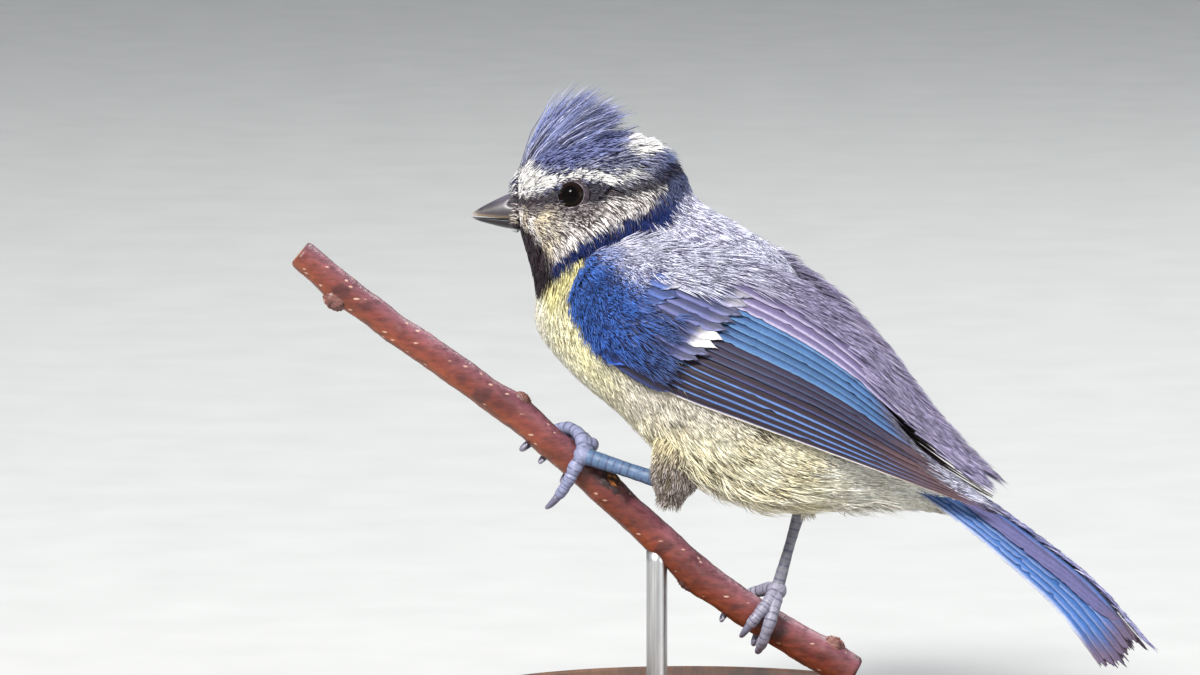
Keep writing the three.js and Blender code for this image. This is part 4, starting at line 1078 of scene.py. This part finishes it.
def build_bristles(material):
    """Fine bristles that lie forward over the base of the bill."""
    roots, barbs = BRISTLES["roots"], BRISTLES["barbs"]
    total = roots * barbs
    which = np.repeat(np.arange(roots), barbs)
    station = chance.uniform(0.3, 0.85, roots)
    angle = chance.uniform(0.25, 2.3, roots) * np.where(np.arange(roots) % 2, 1, -1)
    root = body_point(station, angle, -0.5 * MM)
    reach = chance.uniform(0.6, 1.6, total) * MM
    swerve, rise = chance.normal(0, 0.16, total), chance.normal(-0.12, 0.2, total)
    way = np.stack([np.full(total, -1.0), swerve, rise], -1)
    off = unit(root - np.array([-21.5, 0, 71.6]) * MM)[which]
    off[:, 0] = 0
    paths = []
    for stop in BARB_STOPS:
        rise = (0.75 * math.sin(math.pi * min(stop + 0.15, 1)) - 0.2 * stop) * MM
        paths.append(root[which] + way * (reach * stop)[:, None] + off * rise)
    points, faces = barb_solids(np.stack(paths, 1), off, np.full(total, 0.05 * MM))
    base, odd, share = (value[which] for value in markings(root))
    base = np.where((chance.uniform(0, 1, total) < share + 0.3)[:, None], odd, base)
    tint = barb_shades(base, chance.uniform(0.75, 1.15, total), [1.0, 1.0, 1.0, 1.0])
    layout = barb_layout(body_layout(station, angle)[which], np.tile(np.linspace(-1, 1, barbs), roots))
    bird_piece("coat_bristles", (points, faces, tint, layout), material)


# Wing
def vane_outline(v, tip=0.16):
    """Half width of a vane along its length, from a narrow root to a rounded tip."""
    root = 0.55 + 0.45 * smoothstep(v, 0, 0.35)
    end = np.sqrt(np.clip(1 - (np.clip(v - (1 - tip), 0, None) / tip) ** 2, 0.02, 1))
    return root * end


def frayed(rows, columns, strengths):
    """Uneven edges of a vane, split here and there between its barbs."""
    edges = np.ones((rows, columns))
    for column, strength in zip((0, -1), strengths):
        edges[:, column] += chance.normal(0, 0.02, rows)
        for place in chance.integers(2, rows - 1, max(1, int(rows * strength))):
            edges[place, column] -= chance.uniform(0.06, 0.26)
    return edges


def vane_grid(rows, columns):
    """Shares along a vane, and across it from its lower to its upper edge."""
    return np.linspace(0, 1, rows)[:, None], np.linspace(-1, 1, columns)[None, :]


def vane_sheet(outer, inner, tone, v, c, cell, cells_across):
    """A vane as a closed sheet, darker beneath, with its own cell of the flat layout."""
    points, faces = slab_mesh(outer, inner)
    tone = tone.reshape(-1, 3)
    corner = np.array([cell % cells_across, cell // cells_across]) / cells_across
    local = np.stack([c * 0.46 + 0.5, v * 0.92 + 0.04], -1).reshape(-1, 2) / cells_across
    return points, faces, np.concatenate([tone, tone * 0.8]), np.tile(corner + local, (2, 1))


def vane_tint(tier, feather, v, c, length):
    """Colour of a flight feather or covert at shares along and across it."""
    fleck = np.sin((v * length / MM + np.abs(c) * 2.2) * 9.0 + feather) * 0.5 + 0.5
    lower = smoothstep(-c, 0.35, 0.8)
    edge = smoothstep(-c, 0.5, 0.75)
    if tier == "primaries":
        blue = colour(92, 122, 178) if feather < 5 else colour(62, 66, 104)
        tone = laid(colour(44, 34, 44), blue, edge * (1 - 0.85 * smoothstep(v, 0.62, 0.9)))
        if feather == 0:
            tone = laid(tone, colour(216, 204, 190), smoothstep(-c, 0.6, 0.85))
        tone = laid(tone, colour(104, 80, 82), smoothstep(v, 0.66, 0.98) * 0.75)
    elif tier == "secondaries":
        tone = laid(colour(44, 62, 100), colour(66, 98, 142), smoothstep(-c, -0.5, 0.1))
        tone = laid(tone, colour(94, 128, 160), 0.5 * edge)
        if feather < 3:
            tone = laid(tone, colour(48, 34, 50), 0.92 - 0.2 * edge)
        tone = laid(tone, colour(108, 90, 100), smoothstep(v, 0.84, 1.0) * 0.7)
    elif tier == "tertials":
        tone = laid(laid(colour(104, 96, 130), TERTIAL * 0.8, lower), TERTIAL_PALE, edge * 0.35)
    elif tier == "primary_coverts":
        tone = laid(colour(40, 36, 52), colour(50, 60, 104), lower)
    elif tier == "greater_coverts":
        white = smoothstep(v, 0.74, 0.9) * (0.95 if 1 < feather < 4 else 0.3 if feather > 6 else 0.06)
        tone = laid(laid(colour(50, 54, 88), colour(96, 100, 146), lower), colour(236, 230, 232), white)
    elif tier == "median_coverts":
        white = smoothstep(v, 0.86, 0.97) * (0.7 if feather == 7 else 0.04)
        tone = laid(laid(colour(42, 58, 108), colour(74, 96, 156), lower), colour(222, 218, 222), white)
    else:
        tone = laid(colour(34, 46, 92), colour(50, 88, 176), lower)
    tone = tone * (0.86 + 0.2 * fleck)[..., None]
    return laid(tone, tone * 0.55, 0.8 * (1 - smoothstep(np.abs(c), 0.03, 0.1)))


def vane(tier, feather, cells, cell, far_end):
    """One vane of a tier, as a thin closed sheet with a raised shaft."""
    first_root, last_root = np.array(tier["root"])
    first_tip, last_tip = np.array(tier["tip"])
    rows, columns = (44, 13) if first_tip[0] - first_root[0] > 0.4 else (26, 11)
    middle = (feather + 0.5) / tier["count"]
    v, c = vane_grid(rows, columns)
    half = 0.5 / tier["count"] * tier["overlap"] * vane_outline(v)
    across = middle + c * half * frayed(rows, columns, (0.1, 0.16))
    peak = tier["peak"] * math.sin(math.pi * min(1, middle * 1.6))
    jitter = chance.normal(0, 0.006)
    root_s = mixed((first_root[0], last_root[0]), middle)
    tip_s = mixed((first_tip[0], last_tip[0]), middle) + peak + jitter
    torn = smoothstep(v, 0.9, 1) * chance.normal(0, 0.002, (1, columns))
    round_tip = 0.018 * smoothstep(v, 0.6, 1) * c ** 2 + torn
    s = root_s + (tip_s * far_end - root_s) * v - round_tip
    root_t = mixed((first_root[1], last_root[1]), across)
    tip_t = mixed((first_tip[1], last_tip[1]), across)
    shaft = 0.07 * MM * np.exp(-(c / 0.09) ** 2) * (1 - 0.6 * v)
    depth = mixed(tier["lift"], middle) * MM - VANE_TILT * c * 1.1 + 0.05 * MM * (1 - c ** 2) + shaft
    depth = depth + 0.05 * MM * chance.normal(0, 1) - 0.5 * MM * (1 - smoothstep(v, 0, 0.12))
    s, t, depth, v, c = np.broadcast_arrays(s, root_t + (tip_t - root_t) * v, depth, v, c)
    outer, inner = wing_point(s, t, depth), wing_point(s, t, depth - VANE_THICK)
    length = np.linalg.norm(outer[-1, columns // 2] - outer[0, columns // 2])
    tone = vane_tint(tier["name"], feather, v, c, length) * chance.normal(1, 0.05)
    return vane_sheet(outer, inner, tone, v, c, cell, math.ceil(math.sqrt(cells)))


def covert_paint(points):
    """Cobalt at the bend, slate over the coverts, and lavender toward the back."""
    tone = laid(COBALT, colour(34, 42, 84), 0.8 * smoothstep(ripple(points, 2.4 * MM, 21), -0.1, 0.8))
    tone = laid(tone, colour(70, 84, 126), 0.8 * smoothstep(points[..., 0] / MM, -3.0, 4.0))
    top = smoothstep(above_line(points, BACK_EDGE) / MM, -5.5, -1.5)
    odd = laid(colour(28, 32, 62), MANTLE_DARK * 0.8, top)
    return laid(tone, MANTLE * 0.9, 0.8 * top), odd, 0.2 + 0.1 * top


def back_paint(points):
    """Lavender and grey, pinker along the folded wing's upper edge."""
    patch = ripple(points, 1.6 * MM, 22)
    tone = laid(MANTLE * 0.9, MANTLE_DARK, 0.5 * smoothstep(patch, -0.1, 0.8))
    pink = laid(TERTIAL, TERTIAL_PALE, 0.6 * smoothstep(patch, 0, 0.8))
    return laid(tone, pink, smoothstep(points[..., 0] / MM, 9, 19)), MANTLE_DARK * 0.6, 0.2


def wing_tufts(s_range, t_range, keep, size, width, lift, paint, barbs):
    """Rows of small feathers over part of the wing. A range has its first, its end and its step."""
    s, t = np.meshgrid(np.arange(*s_range), np.arange(*t_range), indexing="ij")
    s = (s + chance.uniform(-0.45, 0.45, s.shape) * s_range[2]).ravel()
    t = (t + chance.uniform(-0.45, 0.45, t.shape) * t_range[2]).ravel()
    kept = keep(s, t)
    return tufts(wing_point, s[kept], t[kept], size * MM, 0.25 * MM, barbs, width * MM, 0.075 * MM, paint,
                 lift * MM)


def lesser_coverts():
    """Small feathers at the bend, worn barbs over the coverts, and soft feathers on the upper edge."""
    def on_bend(s, t):
        return s < 1

    def below_white(s, t):
        return ~((s > 0.27) & (t > 0.3))

    def on_top(s, t):
        return t > np.where(s < 0.3, 0.8, 0.965 - 0.09 * (s > 0.66))

    areas = [
        ((-0.005, 0.17, 0.0125), (0.03, 0.93, 0.04), on_bend, 2.9, 0.8, 1.15, covert_paint, 9),
        ((0.16, 0.31, 0.019), (0.12, 0.56, 0.05), below_white, 4.2, 0.7, 1.05, covert_paint, 6),
        ((0.03, 0.9, 0.0155), (0.8, 1.12, 0.038), on_top, 5.8, 0.9, 1.1, back_paint, 9),
    ]
    return gathered([wing_tufts(*area) for area in areas])


def build_wing(side, vane_material, coat_material):
    name = f"wing_{SIDE_NAMES[side]}"
    feathers = [(tier, feather) for tier in WING_TIERS for feather in range(tier["count"])]
    far_end = 1.0 if side < 0 else FAR_WING_REACH
    vanes = gathered([vane(*feather, len(feathers), cell, far_end) for cell, feather in enumerate(feathers)])
    for label, shape, material, replaces in (
        (f"{name}_vanes", vanes, vane_material, (name,)),
        (f"{name}_coverts", lesser_coverts(), coat_material, ()),
    ):
        if side > 0:
            shape[0] = shape[0] * [1, -1, 1]
            shape[1] = shape[1][:, ::-1]
        bird_piece(label, shape, material, replaces)


# Tail
def tail_frame(a):
    at = through(TAIL_LINE, a * 5)
    along = unit(through(TAIL_LINE, a * 5 + 0.05) - through(TAIL_LINE, a * 5 - 0.05))
    twist = TAIL["twist"] * smoothstep(a, 0, 0.5)
    plain = np.array([0.0, 1.0, 0.0])
    side = np.cos(twist)[..., None] * plain + np.sin(twist)[..., None] * np.cross(along, plain)
    return at, side, np.cross(along, side)


def tail_spot(a, across, lift):
    at, side, out = tail_frame(a)
    return at + side * across[..., None] + out * (lift - TAIL["roof"] * np.abs(across))[..., None]


def tail_vane(pair, side):
    """One vane of the tail, by its pair from the middle out and its side."""
    rows, columns = 76, 13
    v, c = vane_grid(rows, columns)
    reach_end = 1 - 0.012 * abs(pair - 3) + chance.normal(0, 0.004)
    a = TAIL["start"] + (reach_end - TAIL["start"]) * v
    wide = through(np.array([0.7, 0.85, 1.0, 0.98, 0.9, 0.8, 0.3]), v * 6)
    half = TAIL["width"] / 2 * wide * (0.5 + 0.5 * v) * 0.98
    middle = side * (0.35 * MM + pair * TAIL["spread"] * (0.05 + 0.95 * a)) - side * (half - 0.9 * MM)
    across = middle + c * half * frayed(rows, columns, (0.08, 0.12))
    torn = 0.02 * smoothstep(v, 0.9, 1) * chance.normal(0, 0.5, (1, columns))
    shaft = 0.08 * MM * np.exp(-(c / 0.09) ** 2) * (1 - 0.5 * v)
    lift = -TAIL["step"] * pair + 0.12 * MM * (1 - c ** 2) + shaft
    a = a - 0.02 * smoothstep(v, 0.8, 1) * c ** 2 - torn
    a, across, lift, v, c = np.broadcast_arrays(a, across, lift, v, c)
    edge = c * side
    fleck = np.sin((v * 48 + np.abs(c) * 2.4) * 9.0 + pair) * 0.5 + 0.5
    tone = laid(colour(36, 48, 84), colour(58, 98, 160), smoothstep(edge, -0.25, 0.25))
    if side > 0:
        tone = laid(tone, colour(96, 92, 134), 0.75)
    tone = laid(tone, colour(232, 228, 226), smoothstep(edge, 0.72, 0.95) * (0.45 if pair == 5 else 0.12))
    tone = laid(tone, colour(96, 76, 88), smoothstep(v, 0.84, 0.97) * 0.85)
    tone = tone * (0.8 + 0.26 * fleck)[..., None] * chance.normal(1, 0.05)
    tone = laid(tone, tone * 0.5, 1 - smoothstep(np.abs(c), 0.03, 0.1))
    outer, inner = tail_spot(a, across, lift), tail_spot(a, across, lift - VANE_THICK)
    return vane_sheet(outer, inner, tone, v, c, pair * 2 + (side > 0), 4)


def tail_face(a, across, height):
    """A point over the tail's upper side, stepped down from the middle as its feathers are."""
    steps = TAIL["step"] * np.maximum(np.abs(across) - 1.3 * MM, 0) / (TAIL["spread"] * np.maximum(a, 0.3))
    return tail_spot(a, across, height + 0.4 * MM - steps)


def fringe_paint(points):
    """Worn purplish grey barbs, some of them pale."""
    patch = ripple(points, 1.8 * MM, 51)
    tone = laid(colour(130, 132, 178), colour(88, 86, 126), smoothstep(patch, -0.2, 0.7))
    return tone, colour(184, 180, 208), 0.34


def build_tail_fringe(material):
    """Loose worn barbs along the tail's upper side."""
    a, share = np.meshgrid(np.arange(0.34, 0.955, 0.018), np.arange(0.3, 1.0, 0.11), indexing="ij")
    a = (a + chance.uniform(-0.009, 0.009, a.shape)).ravel()
    share = (share + chance.uniform(-0.05, 0.05, share.shape)).ravel()
    half = 0.35 * MM + 5.3 * TAIL["spread"] * (0.05 + 0.95 * a)
    fringe = tufts(tail_face, a, share * half, 3.4 * MM, 0.25 * MM, 7, 1.0 * MM, 0.075 * MM, fringe_paint,
                   0.35 * MM)
    bird_piece("tail_fringe", fringe, material)


def build_tail(material):
    vanes = gathered([tail_vane(pair, side) for pair in range(TAIL["pairs"]) for side in (-1, 1)])
    bird_piece("tail_vanes", vanes, material, ("tail",))


# Twig, in millimetres
def twig_at(x):
    """The middle of the twig where it crosses x, and how far along it that is, from 0 to 1."""
    low, high = 0.0, len(TWIG_LINE) - 1.0
    for _ in range(30):
        middle = (low + high) / 2
        if through(TWIG_LINE, middle)[0] < x:
            low = middle
        else:
            high = middle
    return through(TWIG_LINE, low), low / (len(TWIG_LINE) - 1)


def twig_frame(x):
    """The twig's middle, direction, upper side and radius at x."""
    at, share = twig_at(x)
    along = unit(twig_at(x + 1)[0] - twig_at(x - 1)[0])
    return at, along, np.array([-along[2], 0, along[0]]), mixed(TWIG_RADIUS, share)


def twig_out(up, angle):
    """The way out of the twig at degrees round it from its upper side."""
    turn = math.radians(angle)
    return up * math.cos(turn) + np.array([0, -math.sin(turn), 0])


def round_twig(x, angle, distance):
    at, _, up, _ = twig_frame(x)
    return at + twig_out(up, angle) * distance


def bark_tint(points, upward):
    # Painted sheen: the twig's upper side is drawn lavender, as gloss catching the light; underneath it is
    # drawn oranger.
    tone = laid(colour(104, 46, 38), colour(116, 72, 82), smoothstep(upward, 0.1, 0.9))
    tone = laid(tone, colour(132, 66, 34), 0.8 * smoothstep(-upward, 0.0, 0.8))
    dark = smoothstep(ripple(points * [1, 2, 2], 5 * MM, 31), 0.3, 0.9)
    tone = laid(tone, colour(58, 26, 30), 0.65 * dark)
    worn = smoothstep(-np.abs(points[:, 0] / MM + 11.8), -4.6, -2.6) * smoothstep(upward, 0.0, 0.6)
    tone = laid(tone, colour(40, 24, 20), 0.85 * worn * smoothstep(ripple(points, 2.4 * MM, 35), -0.7, 0.1))
    return laid(tone, colour(206, 126, 60), 0.8 * worn * smoothstep(ripple(points, 1.5 * MM, 36), 0.55, 0.9))


def build_twig(material):
    """Bark tube with uneven joints, swellings under the buds, and cut ends."""
    steps, sides = 420, 56
    share = np.linspace(0, len(TWIG_LINE) - 1, steps)
    path = through(TWIG_LINE, share)
    radii = np.linspace(*TWIG_RADIUS, steps)[:, None]
    along = unit(np.gradient(path, axis=0))
    up = np.stack([-along[:, 2], np.zeros(steps), along[:, 0]], -1)
    angles = round_angles(sides)
    across = np.array([0, -1.0, 0])
    ring = up[:, None] * np.cos(angles)[:, None] + across * np.sin(angles)[:, None]
    rough = path[:, None] + ring * radii[..., None]
    lumps = 0.1 * ripple(rough, 7.0, 32) + 0.05 * ripple(rough, 1.9, 33) + 0.025 * ripple(rough, 0.7, 34)
    swell = np.zeros((steps, sides))
    for bud in TWIG_BUDS:
        spread = np.abs((angles - math.radians(bud["angle"]) + math.pi) % (2 * math.pi) - math.pi)
        near = np.exp(-((path[:, 0] - bud["x"]) / 1.9) ** 2)
        swell += near[:, None] * np.exp(-(spread / 0.9) ** 2)[None] * 0.42
    ends = 1 - 0.12 * (np.exp(-(share / 0.05) ** 2) + np.exp(-((share[-1] - share) / 0.05) ** 2))
    rings = path[:, None] + ring * (radii * ends[:, None] + lumps + swell)[..., None]
    points, faces = tube_mesh(rings * MM)
    upward = np.concatenate([np.zeros(sides), np.tile(np.cos(angles), steps), np.zeros(sides)])
    tint = bark_tint(points, upward)
    cut = np.zeros(len(points))
    cut[:sides] = 1
    cut[-sides:] = 1
    buds = [bud_mesh(bud, number) for number, bud in enumerate(TWIG_BUDS)]
    shape = gathered([(points, faces, laid(tint, colour(206, 176, 128), cut)), *buds])
    new_piece("twig_bark", shape, material, ("twig",))


def bud_mesh(bud, number):
    """A bud of overlapping scales, or a dark scar with bare wood in its middle."""
    _, along, up, radius = twig_frame(bud["x"])
    out = twig_out(up, bud["angle"])
    centre = round_twig(bud["x"], bud["angle"], radius - bud["sunk"])
    sides = 40
    polar, angle = round_grid(0.03, math.pi * 0.62, 26, sides)
    steps = (polar * 3.2 + 0.5 * np.sin(angle * 3 + number)) % 1
    size = 1 + 0.14 * (steps - 0.5) + 0.06 * np.sin(angle * 5 + number * 2)
    if bud["scar"]:
        size = size * (1 - 0.35 * np.exp(-(polar / 0.5) ** 2))
    a, b, c = bud["radii"]
    wide = size * np.sin(polar)
    across = np.cross(along, out)
    rings = reached(centre, (along, a * wide * np.cos(angle)), (across, b * wide * np.sin(angle)),
                    (out, c * size * np.cos(polar)))
    points, faces = tube_mesh(rings * MM)
    shade = np.concatenate([np.ones(sides), (0.75 + 0.5 * steps).ravel(), np.ones(sides)])[:, None]
    if not bud["scar"]:
        return points, faces, colour(112, 74, 66) * shade
    middle = np.concatenate([np.zeros(sides), polar.ravel(), np.full(sides, 2.0)])
    bare = 1 - smoothstep(middle, 0.35, 0.62)
    return points, faces, laid(colour(52, 34, 34) * shade, colour(214, 138, 66), bare)


# Legs
def palm_centre(foot):
    radius = twig_frame(foot["along"])[3]
    return round_twig(foot["along"], foot["angle"], radius + FOOT_GAP + PALM_RADIUS + foot["lift"])


def grip_point(foot, toe, t, radius):
    x = foot["along"] + toe["shift"] * math.sin(min(t, 1.2) * 1.2)
    clearance = foot["lift"] * (1 - min(t, 1)) + toe["out"] * t * t
    return round_twig(x, mixed(toe["turn"], t), twig_frame(x)[3] + FOOT_GAP + radius + clearance)


def scuted(count, scutes, depth):
    """Radius by ring and angle of a scaly toe or shank: stepped scutes in front, small pads behind."""
    def shape(ring, angles):
        place = ring / (count - 1) * scutes
        step = place % 1
        pads = 0.5 + 0.5 * math.cos(2 * math.pi * place * 0.6)
        front = 0.5 + 0.5 * np.sin(angles)
        return 1 + depth * (step ** 0.5 - 0.6) * front + depth * 0.7 * pads * (1 - front)
    return shape


def leg_tint(points, rings, sides, scutes, main, groove):
    step = np.repeat(np.arange(-1, rings + 1) / (rings - 1) * scutes, sides) % 1
    tone = laid(main, groove, 1 - smoothstep(step, 0.04, 0.26))
    return laid(tone, main * 1.35, 0.6 * smoothstep(ripple(points, 1.2 * MM, 44), 0.1, 0.9))


def toe_mesh(foot, toe, main, groove):
    steps, rings, sides, scutes = 6, 64, 18, 11
    shares = np.arange(steps + 1) / steps
    radii = mixed(TOE_RADIUS, shares) * np.where(np.arange(steps + 1) % 2, 1.0, 0.9)
    stops = [palm_centre(foot)] + [grip_point(foot, toe, t, r) for t, r in zip(shares[1:], radii[1:])]
    at = np.linspace(0, steps, rings)
    thick = through(radii, at)
    thick[-3:] *= [0.96, 0.86, 0.62]
    points, faces = tube_mesh(tube_rings(through(stops, at), thick, sides, scuted(rings, scutes, 0.11)) * MM)
    return points, faces, leg_tint(points, rings, sides, scutes, main, groove)


def claw_mesh(foot, toe):
    """A claw, tapered and bowed, that goes on round the twig from the end of its toe."""
    turned = math.radians(abs(toe["turn"][1] - toe["turn"][0]))
    reach = turned * (twig_frame(foot["along"])[3] + FOOT_GAP + TOE_RADIUS[1] + toe["out"])
    start = 1 + FOOT_GAP * 0.4 / reach
    end = start + CLAW["length"] / reach
    shares = np.linspace(0, 1, 7)
    bow = 0.45 * np.sin(math.pi * shares) + mixed((TOE_RADIUS[1], CLAW["tip"]), shares)
    stops = [grip_point(foot, toe, mixed((start, end), t), b) for t, b in zip(shares, bow)]
    rings, sides = 30, 16
    thick = mixed((CLAW["radius"], CLAW["tip"]), np.linspace(0, 1, rings) ** 1.2)
    points, faces = tube_mesh(tube_rings(through(stops, np.linspace(0, 6, rings)), thick, sides) * MM)
    place = np.repeat(np.linspace(0, 1, rings + 2), sides)
    return points, faces, laid(colour(104, 102, 124), colour(160, 156, 172), smoothstep(place, 0.5, 1))


def palm_mesh(centre, main):
    polar, turn = round_grid(0.05, math.pi - 0.05, 20, 28)
    way = np.stack([np.sin(polar) * np.cos(turn), np.sin(polar) * np.sin(turn), np.cos(polar)], -1)
    rough = 1 + 0.07 * ripple(way * PALM_RADIUS, 0.7, 51)
    points, faces = tube_mesh((centre + way * (PALM_RADIUS * rough)[..., None]) * MM)
    return points, faces, main * (1 + 0.2 * ripple(points, 0.7 * MM, 52))[:, None]


def build_leg(foot, thigh, leg_material, claw_material):
    """A shank from the heel to the palm, a scaly foot round the twig, and its claws."""
    side = foot["side"]
    palm = palm_centre(foot)
    heel = posed(np.array(thigh["heel"]) * MM) / MM
    rings, sides, scutes = 90, 22, 12
    stops = np.linspace(0, np.linalg.norm(palm - heel) - PALM_RADIUS * 0.4, rings)
    thick = through(foot["shank"], np.linspace(0, 2, rings))
    rounds = tube_rings(heel + unit(palm - heel) * stops[:, None], thick, sides, scuted(rings, scutes, 0.07))
    points, faces = tube_mesh(rounds * MM)
    tint = leg_tint(points, rings, sides, scutes, colour(*foot["shank_colour"]), colour(52, 56, 90))
    new_piece(f"shank_{side}_scuted", (points, faces, tint), leg_material, (f"shank_{side}",))
    main = colour(*foot["colour"])
    toes = [toe_mesh(foot, toe, main, colour(58, 58, 84)) for toe in foot["toes"]]
    shape = gathered([palm_mesh(palm, main), *toes])
    new_piece(f"foot_{side}_scuted", shape, leg_material, (f"foot_{side}",))
    for toe in foot["toes"]:
        name = f"claw_{side}_{toe['name']}"
        new_piece(f"{name}_horn", claw_mesh(foot, toe), claw_material, (name,))


# Stand
def turned_mesh(outline, x=0, sides=160):
    """A solid turned round an upright axis at x, from an outline of radius and height in millimetres."""
    outline = np.array(outline)
    angles = round_angles(sides)
    rings = np.stack([outline[:, :1] * np.cos(angles) + x, outline[:, :1] * np.sin(angles),
                      np.repeat(outline[:, 1:], sides, 1)], -1)
    return tube_mesh(rings * MM)


def build_stand(wood, metal):
    """A turned base with a groove near its edge, and a rod with a collar up to the twig."""
    radius, height, bevel, groove = (BASE[key] for key in ("radius", "height", "bevel", "groove"))
    outline = [[radius - 0.5, 0], [radius - 0.15, 0.12], [radius, 0.5]]
    for turn in np.linspace(0, math.pi / 2, 10):
        outline.append([radius - bevel + bevel * math.cos(turn), height - bevel + bevel * math.sin(turn)])
    for beside, sunk in ((0.3, 0), (0, 0.16), (-0.3, 0)):
        outline.append([radius - groove + beside, height - sunk])
    new_piece("stand_base_turned", turned_mesh(outline), wood, ("stand_base",))
    at, _, _, twig_radius = twig_frame(ROD["x"])
    r = ROD["radius"]
    low = height + 0.02
    collar = ((1.0, 0), (1.0, 0.5), (0.75, 0.85), (0.1, 1.1), (0, 1.3))
    outline = [[r + out, low + rise] for out, rise in collar]
    outline += [[r, rise] for rise in np.linspace(low + 2, at[2] - twig_radius * 0.8, 12)]
    new_piece("stand_rod_brushed", turned_mesh(outline, ROD["x"], 64), metal, ("stand_rod",))


# Stage
def build_stage():
    """A pale floor that curves up behind into a backdrop."""
    bend, radius, top, columns = (FLOOR[key] for key in ("bend", "radius", "top", "columns"))
    turn = np.linspace(0.1, math.pi / 2, 16)
    flat = np.linspace(FLOOR["front"], bend, 10)
    depth = np.concatenate([flat, bend + radius * np.sin(turn), [bend + radius] * 2])
    height = np.concatenate([np.zeros(len(flat)), radius * (1 - np.cos(turn)), [top / 2, top]])
    y, x = np.meshgrid(depth, np.linspace(-FLOOR["side"], FLOOR["side"], columns), indexing="ij")
    points = np.stack([x, y, np.repeat(height[:, None], columns, 1)], -1).reshape(-1, 3)
    mesh = bpy.data.meshes.new("floor")
    mesh.from_pydata(points.tolist(), [], grid_faces(len(depth), columns).tolist())
    mesh.polygons.foreach_set("use_smooth", np.ones(len(mesh.polygons), bool))
    mesh.materials.append(floor_material())
    floor = bpy.data.objects.new("floor", mesh)
    bpy.context.scene.collection.objects.link(floor)


def build_lights():
    scene = bpy.context.scene
    for name, (place, size, watts, tone) in LIGHTS.items():
        light = bpy.data.lights.new(name, "AREA")
        light.shape = "DISK"
        light.size = size
        light.energy = watts
        light.color = tone
        holder = bpy.data.objects.new(name, light)
        holder.location = place
        holder.rotation_euler = (Vector(LIGHT_TARGET) - Vector(place)).to_track_quat("-Z", "Y").to_euler()
        scene.collection.objects.link(holder)
    world = bpy.data.worlds.new("studio")
    world.use_nodes = True
    shade = world.node_tree.nodes["Background"]
    shade.inputs["Color"].default_value = SKY["colour"]
    shade.inputs["Strength"].default_value = SKY["strength"]
    scene.world = world
    scene.view_settings.view_transform = "Standard"


def build_camera():
    """Level with the bird's side, a little above it, as the photograph was taken."""
    tilt, distance = math.radians(CAMERA["tilt"]), CAMERA["distance"]
    camera = bpy.data.cameras.new("camera")
    camera.sensor_width = CAMERA["sensor"]
    camera.lens = CAMERA["sensor"] * distance / CAMERA["view_width"]
    camera.clip_start = 0.05
    camera.clip_end = 20
    holder = bpy.data.objects.new("camera", camera)
    holder.location = Vector(CAMERA["target"]) + Vector((0, -math.cos(tilt), math.sin(tilt))) * distance
    holder.rotation_euler = (math.radians(90) - tilt, 0, 0)
    bpy.context.scene.collection.objects.link(holder)
    bpy.context.scene.camera = holder


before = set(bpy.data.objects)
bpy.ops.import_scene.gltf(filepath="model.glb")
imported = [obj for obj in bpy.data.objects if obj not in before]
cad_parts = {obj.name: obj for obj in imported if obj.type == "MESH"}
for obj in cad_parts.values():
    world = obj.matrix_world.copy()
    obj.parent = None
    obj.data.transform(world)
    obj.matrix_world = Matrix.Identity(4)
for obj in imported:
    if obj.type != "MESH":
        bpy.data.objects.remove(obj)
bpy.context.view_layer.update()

build_camera()
build_lights()
build_stage()

coat = plumage_material("coat_feather", 0.75, 0.06, 1700.0, 0.16)
# The skin's material is drawn darker too: partly its greyer down, partly painted shade between the feathers.
build_skin(plumage_material("skin_down", 0.85, 0.03, 1500.0, 0.1, dark=0.9))
build_coat(coat)
build_thigh_coat(coat)
build_crest(coat)
build_bristles(coat)
eye = eye_material()
for side in SIDE_NAMES:
    build_eye(side, eye)
build_bill(horn_material("bill_horn_worn", 0.75, 1.2, 0.28, 1500.0, 0.15))
vanes = plumage_material("vane_feather", 0.6, 0.04, 2600.0, 0.22)
for side in SIDE_NAMES:
    build_wing(side, vanes, coat)
build_tail(vanes)
build_tail_fringe(coat)
legs = horn_material("leg_scutes", 0.7, 1.25, 0.38, 2200.0, 0.3)
claws = horn_material("claw_horn", 0.75, 1.2, 0.3, 1800.0, 0.1)
for foot, thigh in zip(FEET, THIGHS):
    build_leg(foot, thigh, legs, claws)
build_twig(bark_material())
build_stand(wood_material(), metal_material())
